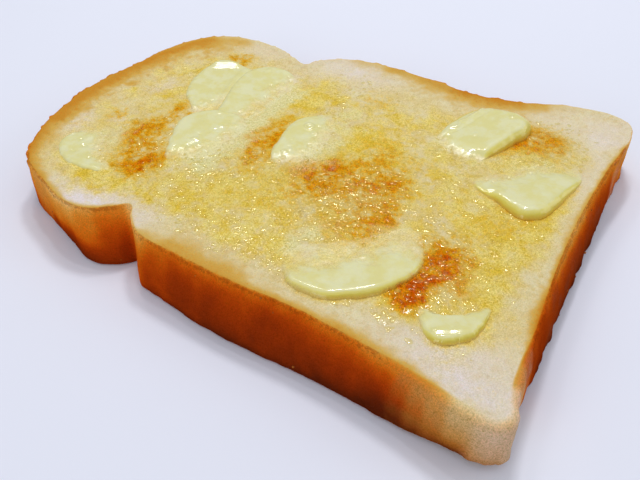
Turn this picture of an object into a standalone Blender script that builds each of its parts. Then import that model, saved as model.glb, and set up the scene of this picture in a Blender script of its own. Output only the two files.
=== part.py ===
"""Slice of buttered toast: one thick slice of white pan bread lying flat, with
nine pats of butter softening on its cut face.

Metres, +Z up. +X runs across the slice, +Y from the base of the loaf towards
its domed crown. The model is built with the base edge at y = 0 and is moved at
the end so that the origin is the middle of the bottom of its box.
"""
import math

import bmesh
import bpy
from mathutils import Vector

MM = 0.001

# ---------------------------------------------------------------- the slice
THICKNESS = 15.0            # height of the cut face's rim above the table
RIM_ROUND = 0.55            # rounding where the crust meets the cut face
RIM_WIDTH = 2.2             # crust showing as a rim round the cut face
RIM_RISE = 0.35             # how far the crumb lies below that rim
FOOT_ROUND = 0.9            # rounding where the crust meets the underside
CORNER_LIFT = 1.8           # the near base corner is curled off the table
CORNER_REACH = 34.0         # how far in from that corner the curl is felt
SPAN_STEPS = 4              # points along each span of the outline
WALL_STEPS = 7              # levels up the crust
CORNER_EASING = 8           # how gently the crust turns at the corners and notches

# Half width and height above the base at each feature of the cut face's edge.
# The near side is -X and the far side is +X: a pan loaf is never quite even.
NEAR_SIDE = {
    "base_quarter": (30.0, 2.6),
    "base_end": (49.0, 0.5),
    "corner_foot": (56.2, -1.0),
    "corner": (59.2, 2.4),
    "corner_top": (58.1, 13.0),
    "lower_side": (54.4, 29.0),
    "waist": (52.2, 48.0),
    "upper_side": (52.1, 66.0),
    "shoulder": (51.0, 83.0),
    "shoulder_top": (49.6, 94.6),
    "shoulder_turn": (45.6, 100.0),
    "notch": (42.2, 103.1),
    "notch_turn": (45.2, 106.8),
    "head_low": (48.6, 111.6),
    "head_side": (49.2, 119.0),
    "head_high": (45.6, 129.5),
    "head_corner": (40.6, 140.0),
    "crown_turn": (30.0, 147.4),
    "crown_side": (15.5, 151.5),
}
FAR_SIDE = {
    "base_quarter": (30.0, 2.4),
    "base_end": (50.0, 0.3),
    "corner_foot": (57.0, 2.4),
    "corner": (59.6, 8.4),
    "corner_top": (57.9, 21.6),
    "lower_side": (53.4, 33.0),
    "waist": (50.9, 47.0),
    "upper_side": (52.8, 63.0),
    "shoulder": (53.6, 79.0),
    "shoulder_top": (51.0, 92.4),
    "shoulder_turn": (46.2, 98.6),
    "notch": (42.1, 101.6),
    "notch_turn": (43.6, 106.4),
    "head_low": (46.8, 113.6),
    "head_side": (48.0, 123.6),
    "head_high": (47.0, 132.0),
    "head_corner": (40.4, 141.6),
    "crown_turn": (28.0, 147.4),
    "crown_side": (13.0, 150.0),
}
BASE_MIDDLE = 3.9           # the cut face starts this far in at the base's middle
CROWN_MIDDLE = 152.2        # height of the crown above the base

# How far the crust stands out at the table, beyond the cut face's edge.
SIDE_SWELL = 5.0            # at the waist
SIDE_SWELL_FROM = 4.0       # height above the base where the swell begins
SIDE_SWELL_FULL = 34.0
SIDE_SWELL_FADE = 62.0
SHOULDER_SWELL = 2.6        # just below the notch
SHOULDER_SWELL_AT = 97.0
NOTCH_SWELL = 5.6           # above the notch, on the lower part of the head
NOTCH_SWELL_AT = 106.0
NOTCH_LEAN = (0.72, -0.70)  # the notch runs down the crust this way, not closing
NOTCH_REACH = (3.5, 13.0)   # distance from the notch over which that lean fades
HEAD_SWELL_FROM = 107.0
HEAD_SWELL_TO = 120.0       # height where the crust stands upright
BASE_FOOT = 0.4             # the foot of the base is straight, this far in
CROWN_SWELL = 1.2

# ------------------------------------------------------------- the butter
SEAT_GAP = 0.3              # clearance under a pat and between two pats
RIM_EDGE = 0.28             # height of a pat's thinnest edge
PAT_STEPS = 28              # points round a pat
PAT_RINGS = (1.0, 0.95, 0.87, 0.76, 0.58, 0.32)

# centre x, centre y, reach towards E NE N NW W SW S SE, heading of the thick
# lip in degrees, height at the lip, height at the melted side, lip width
PATS = {
    "butter_pat_1": ((-29.0, 129.0), (8.6, 10.5, 9.6, 8.6, 6.4, 7.8, 9.6, 6.8), 205, 1.5, 0.6, 2.0),
    "butter_pat_2": ((17.0, 120.0), (13.2, 11.0, 7.6, 9.6, 13.5, 12.0, 8.0, 10.0), 50, 1.4, 0.7, 1.8),
    "butter_pat_3": ((20.0, 104.0), (13.5, 13.0, 9.5, 11.0, 13.0, 11.5, 8.5, 11.0), 350, 1.5, 0.6, 1.8),
    "butter_pat_4": ((-8.0, 105.0), (12.6, 12.0, 10.8, 11.0, 11.0, 12.0, 9.8, 12.0), 110, 1.4, 0.6, 1.8),
    "butter_pat_5": ((6.0, 79.0), (14.0, 9.8, 8.0, 9.5, 13.5, 9.9, 7.5, 10.5), 60, 1.5, 0.6, 2.0),
    "butter_pat_6": ((32.0, 37.0), (12.8, 11.0, 10.5, 13.4, 13.0, 8.8, 9.5, 13.0), 305, 4.2, 1.0, 2.6),
    "butter_pat_7": ((13.0, 19.0), (14.6, 11.2, 11.6, 10.2, 11.0, 12.2, 9.4, 11.8), 225, 3.0, 0.7, 2.4),
    "butter_pat_8": ((-39.5, 18.5), (4.0, 4.8, 7.6, 6.6, 7.0, 6.4, 6.2, 7.8), 225, 2.3, 0.9, 1.9),
    "butter_pat_9": ((-32.0, 45.0), (12.5, 12.0, 14.5, 15.3, 13.9, 13.1, 14.0, 14.8), 230, 2.1, 0.6, 2.2),
}


def smooth(a, b, v):
    """0 below a, 1 above b, eased between."""
    t = min(1.0, max(0.0, (v - a) / (b - a)))
    return t * t * (3.0 - 2.0 * t)


def spline(points, steps):
    """Closed centripetal curve through the points, `steps` samples a span."""
    out = []
    n = len(points)
    for i in range(n):
        p0, p1, p2, p3 = (points[(i + k - 1) % n] for k in range(4))
        t = [0.0]
        for a, b in ((p0, p1), (p1, p2), (p2, p3)):
            t.append(t[-1] + math.sqrt(max((b - a).length, 1e-6)))
        for k in range(steps):
            u = t[1] + (t[2] - t[1]) * k / steps
            a1 = p0.lerp(p1, (u - t[0]) / (t[1] - t[0]))
            a2 = p1.lerp(p2, (u - t[1]) / (t[2] - t[1]))
            a3 = p2.lerp(p3, (u - t[2]) / (t[3] - t[2]))
            b1 = a1.lerp(a2, (u - t[0]) / (t[2] - t[0]))
            b2 = a2.lerp(a3, (u - t[1]) / (t[3] - t[1]))
            out.append(b1.lerp(b2, (u - t[1]) / (t[2] - t[1])))
    return out


def slice_outline():
    """Edge of the cut face, anticlockwise from the middle of the base."""
    points = [Vector((0.0, BASE_MIDDLE))]
    points += [Vector((w, y)) for w, y in FAR_SIDE.values()]
    points.append(Vector((0.0, CROWN_MIDDLE)))
    points += [Vector((-w, y)) for w, y in reversed(list(NEAR_SIDE.values()))]
    return spline(points, SPAN_STEPS)


def outward_normals(ring, easing=0):
    """Outward directions, eased along the outline so that insets never cross."""
    out = []
    n = len(ring)
    for i in range(n):
        d = (ring[(i + 1) % n] - ring[i - 1]).normalized()
        out.append(Vector((d.y, -d.x)))
    for _ in range(easing):
        out = [(out[i - 1] + 2.0 * out[i] + out[(i + 1) % n]).normalized() for i in range(n)]
    return out


def lean(p, normal):
    """Direction in which the crust stands out: along the notch beside a notch."""
    notch = (NEAR_SIDE if p.x < 0.0 else FAR_SIDE)["notch"][1]
    w = 1.0 - smooth(*NOTCH_REACH, abs(p.y - notch))
    way = Vector((math.copysign(NOTCH_LEAN[0], p.x), NOTCH_LEAN[1]))
    return normal.lerp(way.normalized(), w).normalized()


def swell(p, normal):
    """How far the crust stands out at the table at this point of the edge."""
    side = SIDE_SWELL + (SHOULDER_SWELL - SIDE_SWELL) * smooth(SIDE_SWELL_FADE, SHOULDER_SWELL_AT, p.y)
    side += (NOTCH_SWELL - side) * smooth(SHOULDER_SWELL_AT, NOTCH_SWELL_AT, p.y)
    side *= smooth(SIDE_SWELL_FROM, SIDE_SWELL_FULL, p.y)
    side *= 1.0 - smooth(HEAD_SWELL_FROM, HEAD_SWELL_TO, p.y)
    base = (p.y - BASE_FOOT) * smooth(0.3, 0.9, -normal.y) if p.y < 10.0 else 0.0
    crown = CROWN_SWELL * smooth(0.2, 0.9, normal.y) * smooth(125.0, 145.0, p.y)
    return max(side, base, crown)


def corner_lift(x, y):
    """Height of the underside above the table: the near base corner curls up."""
    d = math.hypot(x + NEAR_SIDE["corner"][0], y)
    return CORNER_LIFT * (1.0 - smooth(0.0, CORNER_REACH, d))


def wall_rings(edge):
    """Rings of the crust from the cut face down to the underside."""
    rings = []
    normals = outward_normals(edge, CORNER_EASING)
    leans = [lean(p, n) for p, n in zip(edge, normals)]
    for inset, z in ((RIM_WIDTH + 1.3, THICKNESS - RIM_RISE),
                     (RIM_WIDTH, THICKNESS - 0.08),
                     (RIM_ROUND, THICKNESS)):
        rings.append([(p.x - n.x * inset, p.y - n.y * inset, z) for p, n in zip(edge, normals)])
    top = THICKNESS - RIM_ROUND
    for k in range(WALL_STEPS + 1):
        t = k / WALL_STEPS
        out = math.sin(0.5 * math.pi * t) ** 0.85 if t else 0.0
        ring = []
        for p, n, way in zip(edge, normals, leans):
            low = FOOT_ROUND + corner_lift(p.x, p.y)
            s = swell(p, n) * out
            ring.append((p.x + way.x * s, p.y + way.y * s, top + (low - top) * t))
        rings.append(ring)
    foot = []
    for p, n, way in zip(edge, normals, leans):
        s = swell(p, n)
        x = p.x + way.x * s - n.x * FOOT_ROUND
        y = p.y + way.y * s - n.y * FOOT_ROUND
        foot.append((x, y, corner_lift(x, y)))
    rings.append(foot)
    cx, cy = 0.0, 0.5 * CROWN_MIDDLE
    for scale in (0.93, 0.85, 0.76, 0.66, 0.55):
        ring = []
        for x, y, _ in foot:
            u, v = cx + (x - cx) * scale, cy + (y - cy) * scale
            ring.append((u, v, corner_lift(u, v)))
        rings.append(ring)
    return rings


def skin(name, rings, colour, roughness):
    """One closed body from a stack of rings, capped at both ends."""
    bm = bmesh.new()
    layers = [[bm.verts.new([c * MM for c in v]) for v in ring] for ring in rings]
    n = len(layers[0])
    for upper, lower in zip(layers, layers[1:]):
        for i in range(n):
            j = (i + 1) % n
            bm.faces.new((upper[j], upper[i], lower[i], lower[j]))
    bm.faces.new(layers[0])
    bm.faces.new(reversed(layers[-1]))
    bmesh.ops.triangulate(bm, faces=bm.faces[:])
    bmesh.ops.recalc_face_normals(bm, faces=bm.faces[:])
    mesh = bpy.data.meshes.new(name)
    bm.to_mesh(mesh)
    bm.free()
    mesh.shade_smooth()
    mesh.set_sharp_from_angle(angle=math.radians(40.0))
    obj = bpy.data.objects.new(name, mesh)
    bpy.context.scene.collection.objects.link(obj)
    mat = bpy.data.materials.new(name + "_finish")
    mat.use_nodes = True
    shader = mat.node_tree.nodes["Principled BSDF"]
    shader.inputs["Base Color"].default_value = (*colour, 1.0)
    shader.inputs["Roughness"].default_value = roughness
    shader.inputs["Metallic"].default_value = 0.0
    mesh.materials.append(mat)
    return obj


def reach_at(reach, angle):
    """Smooth outline radius of a pat at an angle, through its eight reaches."""
    n = len(reach)
    t = (angle / (2.0 * math.pi)) % 1.0 * n
    i = int(t) % n
    u = t - int(t)
    r0, r1, r2, r3 = (reach[(i + k - 1) % n] for k in range(4))
    return r1 + 0.5 * u * (r2 - r0 + u * (2 * r0 - 5 * r1 + 4 * r2 - r3 + u * (3 * (r1 - r2) + r3 - r0)))


def pat_outline(spec):
    (cx, cy), reach = spec[0], spec[1]
    out = []
    for k in range(PAT_STEPS):
        a = 2.0 * math.pi * k / PAT_STEPS
        r = reach_at(reach, a)
        out.append([a, r])
    return cx, cy, out


def inside(spec, x, y, margin):
    """Whether a point lies within a pat's outline grown by a margin."""
    (cx, cy), reach = spec[0], spec[1]
    return math.hypot(x - cx, y - cy) < reach_at(reach, math.atan2(y - cy, x - cx)) + margin


def pat_rings(spec, lower_pats):
    """Rings of one pat from its middle out to its edge, then its underside.

    Where a pat slides under a later one it stops short of it by the seat gap.
    """
    cx, cy, outline = pat_outline(spec)
    heading, lip, thin, width = math.radians(spec[2]), spec[3], spec[4], spec[5]
    for point in outline:
        a, r = point
        steps = 240
        for k in range(1, steps + 1):
            d = r * k / steps
            x, y = cx + d * math.cos(a), cy + d * math.sin(a)
            if any(inside(other, x, y, SEAT_GAP + 0.35) for other in lower_pats):
                r = d - r / steps
                break
        point[1] = r
    seat = THICKNESS - RIM_RISE + SEAT_GAP
    mean = sum(r for _, r in outline) / len(outline)
    rings = []
    for u in reversed(PAT_RINGS):
        ring = []
        for a, r in outline:
            x, y = r * u * math.cos(a), r * u * math.sin(a)
            along = (x * math.cos(heading) + y * math.sin(heading)) / mean
            body = thin + (lip - thin) * smooth(-1.0, 0.8, along) ** 1.3
            depth = min(1.0, (1.0 - u) * r / width)
            rise = math.sqrt(max(0.0, 1.0 - (1.0 - depth) ** 2))
            h = RIM_EDGE + (body - RIM_EDGE) * rise
            ring.append((cx + x, cy + y, seat + h))
        rings.append(ring)
    rings.append([(cx + r * math.cos(a), cy + r * math.sin(a), seat) for a, r in outline])
    return rings


def main():
    for obj in list(bpy.data.objects):
        bpy.data.objects.remove(obj, do_unlink=True)
    parts = [skin("bread_slice", wall_rings(slice_outline()), (0.62, 0.42, 0.20), 0.8)]
    specs = list(PATS.items())
    for i, (name, spec) in enumerate(specs):
        later = [s for _, s in specs[i + 1:]]
        parts.append(skin(name, pat_rings(spec, later), (0.82, 0.78, 0.33), 0.25))
    corners = [v.co for obj in parts for v in obj.data.vertices]
    mid_x = 0.5 * (min(c.x for c in corners) + max(c.x for c in corners))
    mid_y = 0.5 * (min(c.y for c in corners) + max(c.y for c in corners))
    low = min(c.z for c in corners)
    for obj in parts:
        for v in obj.data.vertices:
            v.co -= Vector((mid_x, mid_y, low))
    print("slice_to_part_shift_mm", round(mid_x / MM, 4), round(mid_y / MM, 4), round(low / MM, 4))


main()
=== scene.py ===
"""Looks of a thick slice of buttered toast: the toasted slice with its crust,
nine pats of softened butter, beads of melted butter and a few crust crumbs.

Lengths are worked out in millimetres with the base edge of the slice at y = 0,
+Y towards its domed crown, and the slice's near side at -X. Every mesh is then
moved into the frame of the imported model.
"""

import math

import bpy
import numpy as np
from mathutils import Matrix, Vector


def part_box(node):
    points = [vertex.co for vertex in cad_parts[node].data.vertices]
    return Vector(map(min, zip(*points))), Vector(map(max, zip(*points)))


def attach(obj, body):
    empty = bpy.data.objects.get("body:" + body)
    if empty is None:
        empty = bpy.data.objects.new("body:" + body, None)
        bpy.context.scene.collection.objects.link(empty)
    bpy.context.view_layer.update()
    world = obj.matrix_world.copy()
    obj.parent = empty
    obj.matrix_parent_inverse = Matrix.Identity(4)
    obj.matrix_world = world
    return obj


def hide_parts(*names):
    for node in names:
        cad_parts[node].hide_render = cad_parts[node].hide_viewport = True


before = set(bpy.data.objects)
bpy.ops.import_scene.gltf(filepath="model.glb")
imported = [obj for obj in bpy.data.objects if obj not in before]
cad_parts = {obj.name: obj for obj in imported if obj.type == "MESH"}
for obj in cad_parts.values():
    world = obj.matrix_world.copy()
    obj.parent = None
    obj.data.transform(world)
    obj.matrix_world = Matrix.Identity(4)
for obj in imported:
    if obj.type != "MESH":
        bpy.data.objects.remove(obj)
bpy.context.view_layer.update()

MM = 0.001

# ------------------------------------------------------------ the slice's form
THICKNESS = 15.0
RIM_ROUND = 0.55
RIM_RISE = 0.35
FOOT_ROUND = 0.9
CORNER_LIFT = 1.8
CORNER_REACH = 34.0
CORNER_EASING = 8
CORNER_SOFT = 2.1           # how much rounder the ridge is at the near corner

NEAR_SIDE = {
    "base_quarter": (30.0, 2.6),
    "base_end": (49.0, 0.5),
    "corner_foot": (56.2, -1.0),
    "corner": (59.2, 2.4),
    "corner_top": (58.1, 13.0),
    "lower_side": (54.4, 29.0),
    "waist": (52.2, 48.0),
    "upper_side": (52.1, 66.0),
    "shoulder": (51.0, 83.0),
    "shoulder_top": (49.6, 94.6),
    "shoulder_turn": (45.6, 100.0),
    "notch": (42.2, 103.1),
    "notch_turn": (45.2, 106.8),
    "head_low": (48.6, 111.6),
    "head_side": (49.2, 119.0),
    "head_high": (45.6, 129.5),
    "head_corner": (40.6, 140.0),
    "crown_turn": (30.0, 147.4),
    "crown_side": (15.5, 151.5),
}
FAR_SIDE = {
    "base_quarter": (30.0, 2.4),
    "base_end": (50.0, 0.3),
    "corner_foot": (57.0, 2.4),
    "corner": (59.6, 8.4),
    "corner_top": (57.9, 21.6),
    "lower_side": (53.4, 33.0),
    "waist": (50.9, 47.0),
    "upper_side": (52.8, 63.0),
    "shoulder": (53.6, 79.0),
    "shoulder_top": (51.0, 92.4),
    "shoulder_turn": (46.2, 98.6),
    "notch": (42.1, 101.6),
    "notch_turn": (43.6, 106.4),
    "head_low": (46.8, 113.6),
    "head_side": (48.0, 123.6),
    "head_high": (47.0, 132.0),
    "head_corner": (40.4, 141.6),
    "crown_turn": (28.0, 147.4),
    "crown_side": (13.0, 150.0),
}
BASE_MIDDLE = 3.9
CROWN_MIDDLE = 152.2
SIDE_SWELL = 5.0
SIDE_SWELL_FROM = 4.0
SIDE_SWELL_FULL = 34.0
SIDE_SWELL_FADE = 62.0
SHOULDER_SWELL = 2.6
SHOULDER_SWELL_AT = 97.0
NOTCH_SWELL = 5.6
NOTCH_SWELL_AT = 106.0
NOTCH_LEAN = (0.72, -0.70)
NOTCH_REACH = (3.5, 13.0)
HEAD_SWELL_FROM = 107.0
HEAD_SWELL_TO = 120.0
BASE_FOOT = 0.4
CROWN_SWELL = 1.2

ACROSS = 200                # cells of the cut face across the slice
ALONG = 290                 # and from base to crown
WALL_LEVELS = 14
ATLAS = 202.0               # millimetres across the bake map

rng = np.random.default_rng(20)


# ------------------------------------------------------------------ small maths
def smooth(a, b, v):
    """0 below a, 1 above b, eased between."""
    t = np.clip((np.asarray(v, float) - a) / (b - a), 0.0, 1.0)
    return t * t * (3.0 - 2.0 * t)


def lerp(a, b, t):
    return a + (b - a) * t


def unit(v):
    return v / np.maximum(np.linalg.norm(v, axis=-1, keepdims=True), 1e-9)


def scatter(i, j, seed):
    """A repeatable number from 0 to 1 for each whole-number cell."""
    a = np.asarray(i, np.int64).astype(np.uint32) * np.uint32(374761393)
    b = np.asarray(j, np.int64).astype(np.uint32) * np.uint32(668265263)
    h = a ^ b ^ np.uint32((seed * 2246822519 + 97) & 0xFFFFFFFF)
    h = (h ^ (h >> np.uint32(13))) * np.uint32(1274126177)
    h = (h ^ (h >> np.uint32(15))) * np.uint32(2654435761)
    return (h ^ (h >> np.uint32(16))).astype(float) / 4294967295.0


def noise(x, y, size, seed, period=None):
    """Smooth noise from -1 to 1 with lumps of about that size. A period closes it round a ring."""
    if period is not None:
        count = max(3, int(round(period / size)))
        u = x / period * count
    else:
        count = None
        u = x / size
    v = y / size
    i, j = np.floor(u), np.floor(v)
    fu, fv = u - i, v - j
    fu = fu * fu * fu * (fu * (fu * 6 - 15) + 10)
    fv = fv * fv * fv * (fv * (fv * 6 - 15) + 10)
    i0, i1 = (i, i + 1) if count is None else (np.mod(i, count), np.mod(i + 1, count))
    low = lerp(scatter(i0, j, seed), scatter(i1, j, seed), fu)
    high = lerp(scatter(i0, j + 1, seed), scatter(i1, j + 1, seed), fu)
    return 2.0 * lerp(low, high, fv) - 1.0


def layered(x, y, size, seed, octaves=4, fall=0.5, period=None):
    """Noise of several sizes on top of each other, within about -1 to 1."""
    total, weight, sum_w = 0.0, 1.0, 0.0
    for k in range(octaves):
        if period is None:
            a = 0.6 + 1.1 * k
            u = x * math.cos(a) - y * math.sin(a) + 31.7 * k
            v = x * math.sin(a) + y * math.cos(a) - 17.3 * k
            total = total + weight * noise(u, v, size, seed + k)
        else:
            total = total + weight * noise(x, y + 3.1 * k, size, seed + k, period)
        sum_w += weight
        weight *= fall
        size *= 0.5
    return total / sum_w * 1.4


def cells(x, y, size, seed):
    """Distance to the nearest of a jittered set of points, and that point's own number."""
    u, v = x / size, y / size
    i, j = np.floor(u), np.floor(v)
    best = np.full(u.shape, 9.0)
    who = np.zeros(u.shape)
    for di in (-1, 0, 1):
        for dj in (-1, 0, 1):
            ci, cj = i + di, j + dj
            d = np.hypot(ci + 0.15 + 0.7 * scatter(ci, cj, seed) - u, cj + 0.15 + 0.7 * scatter(ci, cj, seed + 7) - v)
            near = d < best
            best = np.where(near, d, best)
            who = np.where(near, scatter(ci, cj, seed + 13), who)
    return best * size, who


def spots(x, y, table):
    """Sum of soft oval spots: centre x, y, reach x, y, turn in degrees, strength."""
    total = np.zeros(np.shape(x))
    for cx, cy, rx, ry, turn, strength in table:
        a = math.radians(turn)
        u = ((x - cx) * math.cos(a) + (y - cy) * math.sin(a)) / rx
        v = (-(x - cx) * math.sin(a) + (y - cy) * math.cos(a)) / ry
        total += strength * np.exp(-((u * u + v * v) ** 1.25))
    return total


def spline(points, steps):
    """Closed centripetal curve through the points, `steps` samples a span."""
    p = np.asarray(points, float)
    out = []
    for i in range(len(p)):
        p0, p1, p2, p3 = (p[(i + k - 1) % len(p)] for k in range(4))
        t = [0.0]
        for a, b in ((p0, p1), (p1, p2), (p2, p3)):
            t.append(t[-1] + math.sqrt(max(np.linalg.norm(b - a), 1e-6)))
        u = (t[1] + (t[2] - t[1]) * np.arange(steps) / steps)[:, None]
        a1 = lerp(p0, p1, (u - t[0]) / (t[1] - t[0]))
        a2 = lerp(p1, p2, (u - t[1]) / (t[2] - t[1]))
        a3 = lerp(p2, p3, (u - t[2]) / (t[3] - t[2]))
        b1 = lerp(a1, a2, (u - t[0]) / (t[2] - t[0]))
        b2 = lerp(a2, a3, (u - t[1]) / (t[3] - t[1]))
        out.append(lerp(b1, b2, (u - t[1]) / (t[2] - t[1])))
    return np.concatenate(out)


# ------------------------------------------------------------- outline and crust
def outward_normals(ring, easing):
    d = unit(np.roll(ring, -1, 0) - np.roll(ring, 1, 0))
    n = np.stack([d[:, 1], -d[:, 0]], 1)
    for _ in range(easing):
        n = unit(np.roll(n, 1, 0) + 2.0 * n + np.roll(n, -1, 0))
    return n


def lean(p, n):
    notch = np.where(p[:, 0] < 0.0, NEAR_SIDE["notch"][1], FAR_SIDE["notch"][1])
    w = (1.0 - smooth(*NOTCH_REACH, np.abs(p[:, 1] - notch)))[:, None]
    way = unit(np.stack([np.copysign(NOTCH_LEAN[0], p[:, 0]), np.full(len(p), NOTCH_LEAN[1])], 1))
    return unit(lerp(n, way, w))


def swell(p, n):
    y = p[:, 1]
    side = SIDE_SWELL + (SHOULDER_SWELL - SIDE_SWELL) * smooth(SIDE_SWELL_FADE, SHOULDER_SWELL_AT, y)
    side = side + (NOTCH_SWELL - side) * smooth(SHOULDER_SWELL_AT, NOTCH_SWELL_AT, y)
    side = side * smooth(SIDE_SWELL_FROM, SIDE_SWELL_FULL, y) * (1.0 - smooth(HEAD_SWELL_FROM, HEAD_SWELL_TO, y))
    base = np.where(y < 10.0, (y - BASE_FOOT) * smooth(0.3, 0.9, -n[:, 1]), 0.0)
    crown = CROWN_SWELL * smooth(0.2, 0.9, n[:, 1]) * smooth(125.0, 145.0, y)
    return np.maximum(np.maximum(side, base), crown)


def corner_lift(x, y):
    d = np.hypot(x + NEAR_SIDE["corner"][0], y)
    return CORNER_LIFT * (1.0 - smooth(0.0, CORNER_REACH, d))


def near_corner(x, y):
    """1 at the pale near base corner, 0 away from it."""
    return 1.0 - smooth(6.0, 30.0, np.hypot((x + 57.0) * 1.1, (y - 3.0) * 0.9))


stations = [(0.0, BASE_MIDDLE)] + list(FAR_SIDE.values()) + [(0.0, CROWN_MIDDLE)]
stations += [(-w, y) for w, y in reversed(list(NEAR_SIDE.values()))]
coarse = spline(stations, 4)
coarse_n = outward_normals(coarse, CORNER_EASING)
coarse_lean = lean(coarse, coarse_n)
coarse_swell = swell(coarse, coarse_n)
FINE = 24
dense = spline(stations, 4 * FINE)


def along_coarse(values, index):
    """Values known at the coarse points, carried to a place between them."""
    i = np.floor(index).astype(int) % len(values)
    f = index - np.floor(index)
    if values.ndim > 1:
        f = f[:, None]
    return lerp(values[i], values[(i + 1) % len(values)], f)


def resample(start, end, count):
    """Even steps along the dense outline from one of its points to another: place and coarse index."""
    n = len(dense)
    length = (end - start) % n
    walk = np.arange(start, start + length + 1)
    p = dense[walk % n]
    s = np.concatenate([[0.0], np.cumsum(np.linalg.norm(np.diff(p, axis=0), axis=1))])
    at = np.linspace(0.0, s[-1], count + 1)[:-1]
    return (
        np.stack([np.interp(at, s, p[:, 0]), np.interp(at, s, p[:, 1])], 1),
        np.interp(at, s, walk.astype(float)) / FINE,
    )


def corner_index(dx, dy):
    return int(np.argmax(dense[:, 0] * dx + dense[:, 1] * dy))


corners = [corner_index(-1, -1.2), corner_index(1, -1), corner_index(1, 1), corner_index(-1, 1)]
legs = [
    resample(corners[0], corners[1], ACROSS),
    resample(corners[1], corners[2], ALONG),
    resample(corners[2], corners[3], ACROSS),
    resample(corners[3], corners[0], ALONG),
]
ring = np.concatenate([leg[0] for leg in legs])
ring_index = np.concatenate([leg[1] for leg in legs])
ring_n = unit(along_coarse(coarse_n, ring_index))
ring_lean = unit(along_coarse(coarse_lean, ring_index))
ring_swell = along_coarse(coarse_swell, ring_index)
RING = len(ring)
ring_s = np.concatenate([[0.0], np.cumsum(np.linalg.norm(np.diff(ring, axis=0), axis=1))])
PERIMETER = ring_s[-1] + np.linalg.norm(ring[0] - ring[-1])


def edge_distance(x, y, line=None):
    """Distance from points to an outline, whose points lie close together."""
    line = ring if line is None else line
    flat = np.stack([np.ravel(x), np.ravel(y)], 1)
    out = np.empty(len(flat))
    for k in range(0, len(flat), 4000):
        p = flat[k:k + 4000]
        out[k:k + 4000] = np.sqrt(((p[:, None, :] - line[None, :, :]) ** 2).sum(2).min(1))
    return out.reshape(np.shape(x))


def coons(boundary, across, along):
    """Grid inside a closed ring of 2 * (across + along) points that starts at its first corner."""
    bottom = boundary[:across + 1]
    right = boundary[across:across + along + 1]
    top = boundary[across + along:2 * across + along + 1][::-1]
    left = np.concatenate([boundary[2 * across + along:], boundary[:1]])[::-1]
    u = (np.arange(across + 1) / across)[:, None, None]
    v = (np.arange(along + 1) / along)[None, :, None]
    grid = lerp(bottom[:, None], top[:, None], v) + lerp(left[None], right[None], u)
    return grid - lerp(lerp(bottom[0], bottom[-1], u), lerp(top[0], top[-1], u), v)


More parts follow.
